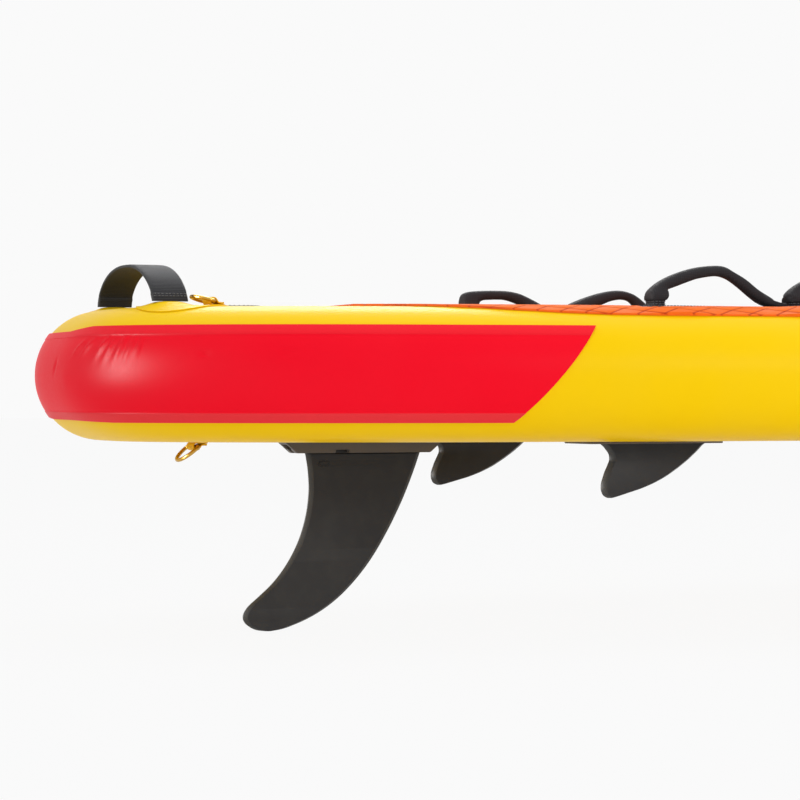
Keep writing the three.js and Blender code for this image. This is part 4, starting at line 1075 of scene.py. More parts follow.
    def patch(self, end: End) -> None:
        """The protective band round one end, cut off on a slant, with the seams showing through it as steps, and
        light painted on its strips beyond them.
        """
        low = RAIL.height_angle(self.patch_edge)
        high = -low
        near_seam = [sign * (self.seam + side * self.step_turn) for sign in (-1, 1) for side in (-1, 1)]
        angle = np.sort(np.concatenate([np.linspace(low, high, 42), near_seam]))
        height = HULL.rail * (1 + np.sin(angle))
        share = (height - self.patch_edge) / (HULL.thickness - 2 * self.patch_edge)
        length = self.patch_bottom_length + (self.patch_top_length - self.patch_bottom_length) * share
        ends = end.value * (HULL.length / 2 - length)
        fine = np.linspace(0, RAIL.end, 4000)
        limits = [np.interp(x, RAIL.point(fine, a, self.patch_out)[:, 0], fine) for x, a in zip(ends, angle)]
        reach = np.abs(np.array(limits) - (0.0 if end is End.TAIL else RAIL.end))
        arc = np.linspace(-1, 1, 420)[:, None] * reach[None, :]
        beyond = np.clip((np.abs(angle) - self.seam) / (2 * self.step_turn) + 0.5, 0, 1)
        offset = self.patch_out + self.seam_step * beyond[None, :] + self.puckers(arc, height[None, :], end)
        turned = np.broadcast_to(angle[None, :], arc.shape)
        if end is End.TAIL:
            near_top, near_low = (np.clip(angle / edge, 0, 1)[None, :] ** 5 for edge in (high, low))
            dip, rise = (
                wander + self.edge_dip * np.clip((arc - ramp[0]) / ramp[1], 0, 1)
                for wander, ramp in ((self.top_drop, self.top_ramp), (self.low_rise, self.low_ramp))
            )
            turned = turned + (rise * near_low - dip * near_top) / (HULL.rail * math.cos(high))
            lifted = np.exp(-(((arc - self.lift_spot[0]) / self.lift_spot[1]) ** 2))
            grid = RAIL.point(arc, turned, offset + self.edge_lift * near_low**2 * lifted)
        else:
            grid = RAIL.point(np.sign(arc + 1e-12) * (RAIL.end - np.abs(arc)), turned, offset)
        mesh = mesh_of(grid.reshape(-1, 3), grid_faces(*grid.shape[:2]))
        # The lap attribute marks where light is painted into the red: a painted reflection of the floor below the
        # lower seam, a painted highlight above the upper one.
        marked(mesh, "lap", np.tile(beyond * np.where(angle > 0, self.top_painted_light, 1.0), len(arc)))
        obj = self.thickened(f"{end.word}_rail_band_red", mesh, RED_PVC, self.patch_thickness)
        self.fit(obj, RED_PVC, [f"{end.word}_rail_patch"])

    def build(self) -> None:
        """Builds the skins and the bands."""
        sheets = {"deck_skin": self.skin_mesh(1), "bottom_skin": self.skin_mesh(-1), "rail_band": self.band_mesh()}
        for node, mesh in sheets.items():
            obj = self.thickened(f"{node}_pvc", mesh, YELLOW_PVC, self.skin)
            if node == "deck_skin":
                cut_hole(obj, (self.valve_x, 0, HULL.thickness), self.valve_hole, self.valve_hole_depth, 64)
            self.fit(obj, YELLOW_PVC, [node])
        for end in End:
            self.patch(end)


@dataclass
class DeckPad(Assembly):
    """The foam pad: long diamond tiles between pressed grooves, lapping over the rail."""

    base: float = 0.35 * MM
    thickness: float = 2.5 * MM
    diamond: tuple[float, float] = (42 * MM, 21 * MM)
    groove_half: float = 1.7 * MM
    groove_depth: float = 1.0 * MM
    margin: float = 38 * MM
    corner_margin: float = 90 * MM
    corner_length: float = 0.3
    aft: float = -1.31
    fore: float = 1.04
    # The sheet that the pad is cut from reaches this far to each side, and this far past its ends
    sheet_side: float = 0.45
    sheet_spare: float = 0.05
    # Holes for the strips and the carry handle: from and to along the board, then across it
    holes: tuple[tuple[float, float, float, float], ...] = (
        (-1.003, 0.383, 0.249, 0.301),
        (-1.003, 0.383, -0.301, -0.249),
        (-0.139, 0.139, -0.046, 0.046),
    )
    # The margin outside the handles is drawn up at their feet and pressed down between them
    feet_x: tuple[float, ...] = (-0.975, -0.8, -0.63, -0.48, -0.305, -0.135, 0.015, 0.19, 0.36)
    swell: float = 3.4 * MM
    sag: float = 0.2 * MM
    foot_reach: float = 0.03
    margin_y: tuple[float, float] = (0.303, 0.03)
    row_ends: tuple[float, float] = (-1.02, 0.42)
    row_fade: float = 0.05

    def border(self) -> list[tuple[float, float]]:
        """The pad's convex outline in the plan that is developed over the rail."""
        x = np.linspace(self.aft, self.fore, 46)
        near = np.minimum(x - self.aft, self.fore - x) / self.corner_length
        plan = self.margin + (self.corner_margin - self.margin) * np.clip(1 - near, 0, 1) ** 2
        lap = np.clip(HULL.rail - plan, 0, None) / HULL.rail
        y = HULL.half_width(x) - np.where(lap > 0, HULL.rail * (1 - np.arcsin(lap)), plan)
        return [*zip(x, y), *zip(x[::-1], -y[::-1])]

    def lattice(self) -> bmesh.types.BMesh:
        """The flat sheet of tiles, larger than the pad, whose Z holds the groove's depth as a share."""
        long, short = self.diamond
        reach = int(-self.aft / long + self.sheet_side / short) + 2
        groove = self.groove_half * math.hypot(long, short) / (long * short)
        stops = np.array([k + step for k in range(-reach, reach) for step in (-groove, 0, groove)])
        deep = np.tile([0, 1, 0], 2 * reach)
        p, q = np.meshgrid(stops, stops, indexing="ij")
        depth = np.maximum(deep[:, None], deep[None, :]) + 0 * p
        x, y = (p + q) * long / 2, (p - q) * short / 2
        kept = (x > self.aft - self.sheet_spare) & (x < self.fore + self.sheet_spare) & (np.abs(y) < self.sheet_side)
        number = -np.ones(p.shape, int)
        number[kept] = np.arange(kept.sum())
        work = bmesh.new()
        verts = [work.verts.new((a, b, -c)) for a, b, c in zip(x[kept], y[kept], depth[kept])]
        corner = np.stack([number[:-1, :-1], number[1:, :-1], number[1:, 1:], number[:-1, 1:]], -1).reshape(-1, 4)
        for four in corner[(corner >= 0).all(1)]:
            work.faces.new([verts[i] for i in four])
        return work

    def clipped(self, work: bmesh.types.BMesh) -> None:
        """Cuts the sheet to the pad's outline and takes its holes out."""

        def bisect(place: Sequence[float], normal: Vector, clear: bool) -> None:
            """Cuts along a plane, and takes away what is beyond it where asked."""
            geometry = [*work.verts, *work.edges, *work.faces]
            bmesh.ops.bisect_plane(
                work, geom=geometry, dist=1e-7, plane_co=place, plane_no=normal, clear_outer=clear
            )

        outline = self.border()
        for (ax, ay), (bx, by) in zip(outline, [*outline[1:], outline[0]]):
            edge = Vector((bx - ax, by - ay, 0))
            if edge.length >= 1e-6:
                bisect((ax, ay, 0), Vector((-edge.y, edge.x, 0)).normalized(), True)
        for axis, value in sorted({(i // 2, hole[i]) for hole in self.holes for i in range(4)}):
            across = Vector((0, 1, 0)) if axis else Vector((1, 0, 0))
            bisect(across * value, across, False)
        middles = [(face, face.calc_center_median()) for face in work.faces]
        gone = [face for face, m in middles if any(a < m.x < b and c < m.y < d for a, b, c, d in self.holes)]
        bmesh.ops.delete(work, geom=gone, context="FACES")

    def wrapped(self, plan: Points, height: Points) -> Points:
        """Lays developed plan places over the deck and the rail.

        Args:
            plan: Places in the developed plan.
            height: Heights above the hull's surface.

        Returns:
            The points in space.
        """
        inward, normal = RAIL.inward(plan)
        turn = np.maximum(0, HULL.rail - inward) / HULL.rail
        radius = HULL.rail + height
        real_inward = np.where(turn > 0, HULL.rail - radius * np.sin(turn), inward)
        out = plan + normal * (inward - real_inward)[:, None]
        z = np.where(turn > 0, HULL.rail + radius * np.cos(turn), HULL.thickness + height)
        return np.column_stack([out, z + HULL.rocker(out[:, 0])])

    def margin_swell(self, flat: Points) -> Points:
        """How far the margin is drawn up or pressed down at places of the flat sheet."""
        x, outside = flat[:, 0], np.clip((np.abs(flat[:, 1]) - self.margin_y[0]) / self.margin_y[1], 0, 1)
        near = np.abs(x[:, None] - np.array(self.feet_x)[None, :]).min(1)
        aft, fore = self.row_ends
        row = np.clip((x - aft) / self.row_fade, 0, 1) * np.clip((fore - x) / self.row_fade, 0, 1)
        return outside * row * ((self.swell + self.sag) * np.exp(-((near / self.foot_reach) ** 2)) - self.sag)

    def build(self) -> None:
        """Builds the pad as one closed piece."""
        work = self.lattice()
        self.clipped(work)
        work.verts.index_update()
        flat = np.array([v.co for v in work.verts])
        faces = [[v.index for v in f.verts] for f in work.faces]
        rim = [[v.index for v in e.verts] for e in work.edges if len(e.link_faces) == 1]
        work.free()
        top_height = self.base + self.thickness + flat[:, 2] * self.groove_depth + self.margin_swell(flat)
        top = self.wrapped(flat[:, :2], top_height)
        bottom = self.wrapped(flat[:, :2], np.full(len(flat), self.base))
        count = len(flat)
        faces += [[i + count for i in reversed(face)] for face in faces]
        faces += [[a, b, b + count, a + count] for a, b in rim]
        mesh = marked(mesh_of(np.vstack([top, bottom]), faces, 0), "groove", [*-flat[:, 2], *np.zeros(count)])
        obj = new_object("deck_pad_foam", mesh, PAD_FOAM, 50)
        self.fit(obj, PAD_FOAM, ["deck_pad"])


@dataclass
class GrabHandles(Assembly):
    """The rows of padded grab handles and the strips that they are sewn to."""

    row_y: float = 0.275
    first_x: float = -0.985
    pitch: float = 0.18
    pairs: int = 3
    pair_pitches: float = 2.75
    crown: float = 45.7 * MM
    width: float = 24 * MM
    base_z: float = 152.6 * MM
    # Seams: two collars round the standing foot, two rows across the flat end, one along each side of the strip
    collar_z: tuple[float, ...] = (2.2 * MM, 5.0 * MM)
    collar_swell: float = 1.02
    end_share: tuple[float, float] = (0.955, 0.125)
    end_rows: tuple[float, ...] = (0.0, 4 * MM)
    end_seam: float = 0.88
    strip_seam: float = 18 * MM
    strip_margin: float = 4 * MM
    # The cloth: what is sewn down, by share of the crown and of the pitch, and how it fills out
    sewn_share: float = 0.15
    loose_span: tuple[float, float] = (0.2, 0.86)
    pressure: float = 60.0
    spare: float = 0.03
    cap: float = 1.2 * MM
    # Upper x and z, lower x and z as shares of pitch and crown, width share, and squareness
    standing: tuple[tuple[float, ...], ...] = (
        (0.03, 0.0, 0.112, 0.0, 0.92, 8.0), (0.03, 0.12, 0.112, 0.115, 0.92, 8.0),
        (0.018, 0.17, 0.13, 0.16, 1.0, 5.0), (0.018, 0.29, 0.147, 0.24, 0.98, 4.0),
        (0.035, 0.41, 0.151, 0.33, 0.88, 3.4), (0.1, 0.6, 0.153, 0.42, 0.76, 2.8),
        (0.21, 0.79, 0.239, 0.52, 0.7, 2.5), (0.344, 0.937, 0.361, 0.663, 0.68, 2.4),
        (0.472, 1.0, 0.472, 0.733, 0.67, 2.4), (0.556, 0.985, 0.533, 0.726, 0.67, 2.4),
        (0.628, 0.853, 0.594, 0.652, 0.67, 2.4), (0.711, 0.68, 0.671, 0.473, 0.7, 2.5),
        (0.8, 0.427, 0.766, 0.223, 0.78, 2.8), (0.894, 0.225, 0.861, 0.052, 0.9, 3.6),
        (0.95, 0.13, 0.94, 0.01, 0.98, 6.0), (0.989, 0.11, 0.989, 0.0, 1.0, 8.0),
    )
    sunken: tuple[tuple[float, ...], ...] = (
        (0.122, 0.0, 0.235, 0.0, 0.92, 8.0), (0.122, 0.12, 0.235, 0.115, 0.92, 8.0),
        (0.116, 0.18, 0.245, 0.17, 1.0, 5.0), (0.116, 0.38, 0.25, 0.3, 0.95, 4.2),
        (0.118, 0.58, 0.255, 0.42, 0.9, 3.6), (0.134, 0.73, 0.268, 0.5, 0.84, 3.0),
        (0.18, 0.8, 0.295, 0.55, 0.78, 2.7), (0.26, 0.82, 0.33, 0.57, 0.74, 2.6),
        (0.38, 0.83, 0.4, 0.57, 0.72, 2.5), (0.49, 0.82, 0.47, 0.56, 0.7, 2.4),
        (0.58, 0.76, 0.545, 0.49, 0.7, 2.4), (0.66, 0.64, 0.62, 0.37, 0.7, 2.4),
        (0.74, 0.49, 0.7, 0.21, 0.75, 2.6), (0.83, 0.29, 0.8, 0.06, 0.86, 3.2),
        (0.92, 0.14, 0.91, 0.01, 0.96, 5.0), (0.985, 0.11, 0.985, 0.0, 1.0, 8.0),
    )
    slack: tuple[tuple[float, ...], ...] = (
        (0.03, 0.0, 0.112, 0.0, 0.92, 8.0), (0.03, 0.12, 0.112, 0.115, 0.92, 8.0),
        (0.0, 0.2, 0.13, 0.17, 1.0, 5.0), (-0.01, 0.36, 0.148, 0.24, 0.94, 4.0),
        (0.01, 0.5, 0.168, 0.31, 0.85, 3.4), (0.08, 0.61, 0.21, 0.38, 0.78, 2.8),
        (0.18, 0.73, 0.28, 0.47, 0.72, 2.5), (0.28, 0.83, 0.35, 0.57, 0.7, 2.4),
        (0.38, 0.89, 0.42, 0.62, 0.68, 2.4), (0.46, 0.88, 0.475, 0.61, 0.67, 2.4),
        (0.535, 0.8, 0.515, 0.55, 0.67, 2.4), (0.59, 0.68, 0.55, 0.43, 0.68, 2.4),
        (0.65, 0.51, 0.6, 0.27, 0.7, 2.5), (0.73, 0.33, 0.69, 0.12, 0.78, 2.8),
        (0.83, 0.2, 0.8, 0.03, 0.9, 3.6), (0.92, 0.12, 0.91, 0.0, 0.98, 6.0),
        (0.985, 0.11, 0.985, 0.0, 1.0, 8.0),
    )

    def sleeve_rings(self, stations: Sequence[Sequence[float]], crown: float) -> Points:
        """Rings of one sleeve, at the start of its pitch and on the board's middle line."""
        rings = []
        for upper_x, upper_z, lower_x, lower_z, wide, power in smooth_line(np.array(stations), 4):
            upper = np.array([upper_x * self.pitch, upper_z * crown])
            lower = np.array([lower_x * self.pitch, lower_z * crown])
            middle, half = (upper + lower) / 2, (upper - lower) / 2
            section = rounded_section(wide * self.width / 2, 1.0, 28, max(2.0, power))
            place = middle[None, :] + section[:, 1:] * half[None, :]
            rings.append(np.column_stack([place[:, 0], section[:, 0], np.maximum(place[:, 1], 0)]))
        return np.array(rings)

    def form(self, index: int, side: Side) -> Points:
        """Rings of a handle by its place: each has been left lying in its own way.

        Args:
            index: Its number in its row, from 0 at the tail.
            side: The row's side.

        Returns:
            The rings.
        """
        stations = self.standing
        if side is Side.PORT and index < 2:
            stations = (self.sunken, self.slack)[index]
        crown = self.crown * (1 - 0.03 * ((2 * index + side.value) % 3) * (index > 0))
        return self.sleeve_rings(stations, crown)

    def sleeve(self, index: int, side: Side) -> None:
        """One padded handle at its place in a row, with its collar sewn down."""
        pitches = index // 2 * self.pair_pitches + index % 2
        move = np.array([self.first_x + pitches * self.pitch, side.value * self.row_y, self.base_z])
        rings = self.form(index, side)
        mesh = mesh_of(*tube(rings + move), 1e-7)
        own = places_of(mesh) - move
        mapped(mesh, own[:, 0], own[:, 1] + own[:, 2])
        number = index + 1
        obj = new_object(f"grab_sleeve_{side.word}_{number}", mesh, SLEEVE_KNIT, 60)
        low, (start, stop) = self.crown * self.sewn_share, self.loose_span
        sewn = [i for i, (x, _, z) in enumerate(own) if z < low and not start < x / self.pitch < stop]
        settled(obj, sewn, self.pressure, self.spare, self.cap, self.base_z + 0.3 * MM)
        foot = rings[2] + move
        centre = foot.mean(0)
        outline = centre + (foot - centre) * self.collar_swell
        for height in self.collar_z:
            level = np.column_stack([outline[:, :2], np.full(len(outline), self.base_z + height)])
            SEWING.line(THREAD, np.vstack([level, level[:1]]))
        flat = move + np.array([self.pitch * self.end_share[0], 0, self.crown * self.end_share[1]])
        across = np.linspace(-self.end_seam / 2, self.end_seam / 2, 5)[:, None] * np.array([[0, self.width, 0]])
        for shift in self.end_rows:
            SEWING.line(THREAD, flat + across + np.array([shift, 0, -shift * 0.1]))
        self.fit(obj, SLEEVE_KNIT, [f"grab_handle_{side.word}_{number}"])

    def strip(self, side: Side) -> None:
        """The webbing strip under one row."""
        node = f"grab_strip_{side.word}"
        obj = node_copy(node, f"grab_strip_webbing_{side.word}", BLACK_WEBBING)
        vertices = places_of(obj.data)
        mapped(obj.data, vertices[:, 0], vertices[:, 1])
        low, high, top = vertices[:, 0].min(), vertices[:, 0].max(), vertices[:, 2].max() + 0.1 * MM
        for edge in (-self.strip_seam, self.strip_seam):
            y = side.value * self.row_y + edge
            SEWING.line(THREAD, [(low + self.strip_margin, y, top), (high - self.strip_margin, y, top)])
        self.fit(obj, BLACK_WEBBING, [node])

    def build(self) -> None:
        """Builds both rows."""
        for side in Side:
            self.strip(side)
            for index in range(2 * self.pairs):
                self.sleeve(index, side)


@dataclass
class ArchHandles(Assembly):
    """Webbing arches across both ends, on their domed patches, and the padded carry handle."""

    # Span at the feet, rise and width
    end_size: tuple[float, float, float] = (0.214, 45.2 * MM, 41 * MM)
    carry_size: tuple[float, float, float] = (0.2, 44 * MM, 38 * MM)
    handle_x: tuple[float, float] = (-1.4915, 1.43007)
    webbing: float = 4 * MM
    foot: float = 7 * MM
    foot_length: float = 15 * MM
    foot_step: float = 1.5 * MM
    span_power: float = 2.3
    rise_power: float = 1.8
    lean_power: float = 1.45
    lean_reach: float = 1.045
    stations: int = 72
    sewn: tuple[float, ...] = (6.5 * MM, 9.5 * MM)
    seam_margin: float = 3 * MM
    glue: float = 0.3 * MM
    foot_y: float = 0.1035
    patch_lead: float = 16.5 * MM
    patch_radius: float = 52 * MM
    patch_top: float = 1.5 * MM
    dome_height: float = 6 * MM
    dome_base: float = 34 * MM
    dome_crown: float = 10 * MM
    carry_seat: float = 1.8 * MM
    # The soft grip, and how its cloth fills out between its sewn ends
    grip_width: float = 50 * MM
    grip_thickness: float = 16 * MM
    grip_share: float = 0.5
    grip_ends: float = 4 * MM
    pressure: float = 60.0
    spare: float = 0.03
    cap: float = 1.0 * MM

    def arch(
        self, span: float, rise: float, arc: float = 1.0, count: int | None = None, leans: bool = False
    ) -> tuple[Points, Points]:
        """Outer line of an arch and its outward directions, in its own plane.

        Args:
            span: Its width at the feet.
            rise: Its height.
            arc: The share of the half turn that it covers, about its crown.
            count: How many points it has.
            leans: Whether its starboard leg is pulled straight and stands a little further out.

        Returns:
            The points and the directions, both as across and up.
        """
        margin = np.pi * (1 - arc) / 2
        angle = np.linspace(margin, np.pi - margin, count or self.stations)
        cosine, sine = np.cos(angle), np.maximum(0, np.sin(angle))
        power = np.where((cosine < 0) & leans, self.lean_power, self.rise_power)
        reach = np.where((cosine < 0) & leans, self.lean_reach, 1.0)
        across = reach * span / 2 * np.sign(cosine) * np.abs(cosine) ** (2 / self.span_power)
        up = rise * sine ** (2 / power)
        steep = np.stack(
            [
                self.span_power * 2 / span * np.sign(across) * np.abs(2 * across / span) ** (self.span_power - 1),
                power / rise * (up / rise) ** (power - 1),
            ],
            1,
        )
        return np.stack([across, up], 1), steep / np.linalg.norm(steep, axis=1, keepdims=True)

    def band(self, name: str, seat: Matrix, lift: float, size: tuple[float, float, float], lengthwise: bool) -> Obj:
        """A webbing arch with rounded edges and doubled feet.

        Args:
            name: The piece's name.
            seat: Its frame on the deck.
            lift: The height of its feet in that frame.
            size: Its span, rise and width.
            lengthwise: Whether it stands along the board, and not across it.

        Returns:
            The piece.
        """
        span, rise, width = size
        order = [0, 1, 2] if lengthwise else [1, 0, 2]
        line, outward = self.arch(span, rise, leans=not lengthwise)
        steps = np.concatenate([[0], np.cumsum(np.linalg.norm(np.diff(line, axis=0), axis=1))])
        near_foot = self.foot_length - np.minimum(steps, steps[-1] - steps)
        thick = self.webbing + (self.foot - self.webbing) * np.clip(near_foot / self.foot_step, 0, 1)
        section = rounded_section(width / 2, 0.5, 20, 7)
        rings = []
        for (across, up), normal, deep in zip(line, outward, thick):
            depth = (section[:, 1] - 0.5) * deep
            high = np.maximum(0, up + normal[1] * depth) + lift
            rings.append(np.column_stack([across + normal[0] * depth, section[:, 0], high])[:, order])
        mesh = mesh_of(*tube(np.array(rings)), 0, seat)
        mapped(mesh, np.repeat(steps, len(section)), np.tile(section[:, 0], len(steps)))
        crowns = line + outward * 0.2 * MM
        for foot in (steps, steps[-1] - steps):
            rank = np.argsort(foot)
            for reach in self.sewn:
                flat, high = (np.interp(reach, foot[rank], crowns[rank, i]) for i in (0, 1))
                ends = [(flat, side.value * (self.seam_margin - width / 2), high + lift) for side in Side]
                SEWING.line(THREAD, np.array(ends)[:, order], seat)
        return new_object(name, mesh, BLACK_WEBBING, 60)

    def domed_patch(self, end: End, side: Side) -> None:
        """A round glued patch with a smooth dome under the handle's foot."""
        x, y = self.handle_x[end is End.NOSE], side.value * self.foot_y
        rings, sides = 30, 72
        turn = 2 * np.pi * np.arange(sides) / sides
        radius = self.patch_radius * np.linspace(0, 1, rings) ** 0.9
        px = x - end.value * self.patch_lead + np.outer(radius, np.cos(turn))
        py = y + np.outer(radius, np.sin(turn))
        share = np.clip((self.dome_base - np.hypot(px - x, py - y)) / (self.dome_base - self.dome_crown), 0, 1)
        lift = self.patch_top + (self.dome_height - self.patch_top) * share**2 * (3 - 2 * share)
        plan = np.column_stack([px.ravel(), py.ravel()])
        count, edge = len(plan), (rings - 1) * sides
        faces = grid_faces(rings, sides, loop_columns=True)
        under = [tuple(i + count for i in reversed(f)) for f in faces]
        rim = [(edge + j, edge + (j + 1) % sides) for j in range(sides)]
        wall = [(a, b, b + count, a + count) for a, b in rim]
        skins = [on_hull(plan, lift.ravel()), on_hull(plan, np.full(count, self.glue))]
        mesh = mesh_of(np.vstack(skins), [*faces, *under, *wall], 2e-6)
        obj = new_object(f"{end.word}_foot_patch_{side.word}", mesh, YELLOW_PVC, 50)
        self.fit(obj, YELLOW_PVC, [f"{end.word}_handle_patch_{side.word}"])

    def carry(self) -> None:
        """The carry handle at mid-length: patch, strap and soft grip."""
        seat = HULL.seat(0, 0)
        strap = self.band("carry_strap_webbing", seat, self.carry_seat, self.carry_size, True)
        self.fit(strap, BLACK_WEBBING, ["carry_handle_strap"])
        patch = node_copy("carry_handle_patch", "carry_patch_pvc", YELLOW_PVC, 0.2 * MM)
        self.fit(patch, YELLOW_PVC, ["carry_handle_patch"])
        line, outward = self.arch(*self.carry_size[:2], self.grip_share, 40)
        rings = []
        for i, ((across, up), normal) in enumerate(zip(line, outward)):
            # Each end rounds off over four rings, to a little over half the thickness
            inside = min(1.0, min(i, len(line) - 1 - i) / 4)
            swell = 0.55 + 0.45 * math.sqrt(max(0.0, 1 - (1 - inside) ** 2))
            section = rounded_section(self.grip_width / 2 * (0.9 + 0.1 * swell), 0.5, 32, 3.2)
            depth = section[:, 1] * self.grip_thickness * swell - self.webbing / 2
            high = up + normal[1] * depth + self.carry_seat
            rings.append(np.column_stack([across + normal[0] * depth, section[:, 0], high]))
        mesh = mesh_of(*tube(np.array(rings)), seat=seat)
        x, y, z = places_of(mesh).T
        mapped(mesh, x, y + z)
        grip = new_object("carry_grip_neoprene", mesh, SLEEVE_KNIT, 60)
        ends = np.flatnonzero(np.abs(x) > np.abs(x).max() - self.grip_ends)
        settled(grip, ends, self.pressure, self.spare, self.cap, 0.0)
        self.fit(grip, SLEEVE_KNIT, ["carry_handle_grip"])

    def build(self) -> None:
        """Builds the arches, their patches and the carry handle."""
        for end, x in zip(End, self.handle_x):
            lift = self.dome_height + self.glue
            arch = self.band(f"{end.word}_arch_webbing", HULL.seat(x, 0), lift, self.end_size, False)
            self.fit(arch, BLACK_WEBBING, [f"{end.word}_handle"])
            for side in Side:
                self.domed_patch(end, side)
        self.carry()


def on_hull(plan: Points, height: Points) -> Points:
    """Lays plan places on the upper side of the hull, rail and all.

    Args:
        plan: Places in plan, inside the outline.
        height: Heights above the hull's surface.

    Returns:
        The points in space.
    """
    inward, normal = RAIL.inward(plan)
    sine = np.clip((HULL.rail - inward) / HULL.rail, 0, 1)
    out = plan + normal * (height * sine)[:, None]
    z = HULL.rail + (HULL.rail + height) * np.sqrt(1 - sine**2)
    return np.column_stack([out, z + HULL.rocker(plan[:, 0])])


@dataclass
class SteelRings(Assembly):
    """The D-rings and the folded webbing tabs that hold them."""

    wire: float = 4.4 * MM
    corner: float = 5 * MM
    # Width inside and depth outside
    size: tuple[float, float] = (30 * MM, 24 * MM)
    tow_size: tuple[float, float] = (36 * MM, 27 * MM)
    tab_width: float = 25 * MM
    tab_wall: float = 2 * MM
    bore: float = 3.1 * MM
    tail_length: float = 13 * MM
    on_patch: float = 1.8 * MM
    # Place along and across, whether under the bottom, and angle at rest
    places: dict[str, tuple[float, float, bool, float]] = field(
        default_factory=lambda: {
            "deck_port": (-1.443, 0.1035, False, 160),
            "deck_starboard": (-1.443, -0.1035, False, 14),
            "tow": (-1.428, 0.0, True, 40),
            "nose": (1.31, 0.0, False, 14),
        }
    )

    def centre_line(self, inner_width: float, outer_depth: float) -> Points:
        """Centre line of a ring: its bar lies on the Y axis and its bow reaches towards -X.

        Args:
            inner_width: Its width inside.
            outer_depth: Its depth outside.

        Returns:
            Its points, in its own plane.
        """
        half = (inner_width + self.wire) / 2
        depth = outer_depth - self.wire / 2
        c, quarter = self.corner, np.pi / 2
        line = [(0.0, y) for y in np.linspace(c - half, half - c, 9)[1:-1]]
        # Middle across, reach along and across, start in quarter turns, length in quarter turns, steps
        arcs = [(half - c, c, c, 0, 1, 7), (0, depth - c, half, 1, 2, 40), (c - half, c, c, 3, 1, 7)]
        for middle, reach_x, reach_y, start, turns, steps in arcs:
            for angle in np.linspace(start * quarter, (start + turns) * quarter, steps):
                line.append((reach_x * math.cos(angle) - c, middle + reach_y * math.sin(angle)))
        return np.array([p for i, p in enumerate(line) if math.dist(p, line[i - 1]) > 1e-7])

    def ring(self, name: str, seat: Matrix, angle: float) -> Obj:
        """The steel ring, swept along its centre line."""
        line = self.centre_line(*(self.tow_size if name == "tow" else self.size))
        sides = 20
        turn = 2 * np.pi * np.arange(sides) / sides
        along = np.roll(line, -1, 0) - np.roll(line, 1, 0)
        along /= np.linalg.norm(along, axis=1, keepdims=True)
        outward = np.stack([along[:, 1], -along[:, 0]], 1)
        reach = self.wire / 2 * np.cos(turn)
        flat = line[:, None, :] + outward[:, None, :] * reach[None, :, None]
        high = np.broadcast_to(self.wire / 2 * np.sin(turn), flat.shape[:2])
        height = self.on_patch + self.bore + self.tab_wall
        place = seat @ Matrix.Translation((0, 0, height)) @ Matrix.Rotation(math.radians(angle), 4, "Y")
        mesh = mesh_of(*tube(np.concatenate([flat, high[..., None]], -1), loop=True), 1e-7, place)
        return new_object(f"{name}_ring_wire", mesh, RING_GOLD_TONE, 80)

    def tab(self, name: str, seat: Matrix) -> Obj:
        """The webbing tab: a loop round the bar whose two ends lie on each other."""
        wall, tail = self.tab_wall, self.tail_length
        middle = self.bore + wall / 2
        centre_z = self.on_patch + self.bore + wall
        low = self.on_patch + wall / 2
        turns = np.linspace(math.radians(-90), math.radians(-325), 26)
        # The lower end, the loop round the bar, and the upper end that lies on the lower one
        line = np.array(
            [
                (tail, low),
                (tail * 0.6, low),
                *((middle * math.cos(a), centre_z + middle * math.sin(a)) for a in turns),
                (middle * 0.98 + 1.6 * MM, low + 3.1 * MM),
                (tail * 0.72, low + wall * 0.98),
                (tail * 0.95, low + wall * 0.95),
            ]
        )
        steps = np.gradient(line, axis=0)
        steps /= np.linalg.norm(steps, axis=1, keepdims=True)
        across, deep = rounded_section(self.tab_width / 2, wall * 0.46, 16, 6).T
        rings = [
            np.column_stack([x + dz * deep, across, np.maximum(self.on_patch, z - dx * deep)])
            for (x, z), (dx, dz) in zip(line, steps)
        ]
        mesh = mesh_of(*tube(np.array(rings)), 0, seat)
        for x in (tail * 0.66, tail * 0.9):
            ends = [(x, side.value * (2 * MM - self.tab_width / 2), low + wall * 1.5) for side in Side]
            SEWING.line(TAB_THREAD, ends, seat)
        return new_object(f"{name}_tab_webbing", mesh, TAB_PVC, 60)

    def build(self) -> None:
        """Builds the four rings with their tabs, and the two round patches that are theirs."""
        for name, (x, y, under, angle) in self.places.items():
            seat = HULL.seat(x, y, under)
            self.fit(self.ring(name, seat, angle), RING_GOLD_TONE, [f"{name}_ring"], f"{name}_ring")
            self.fit(self.tab(name, seat), TAB_PVC, [f"{name}_ring_tab"])
        for node in ("tow_ring_patch", "nose_ring_patch"):
            self.fit(node_copy(node, f"{node}_pvc", YELLOW_PVC, 0.2 * MM), YELLOW_PVC, [node])


@dataclass(frozen=True)
class BladeForm:
    """A fin's blade by its level sections, and its sizes.

    Each section has its drop as a share of the depth, and its aft and fore edges as shares of the chord.
    """

    chord: float
    depth: float
    thickness: float
    edge: float
    sections: tuple[tuple[float, float, float], ...]


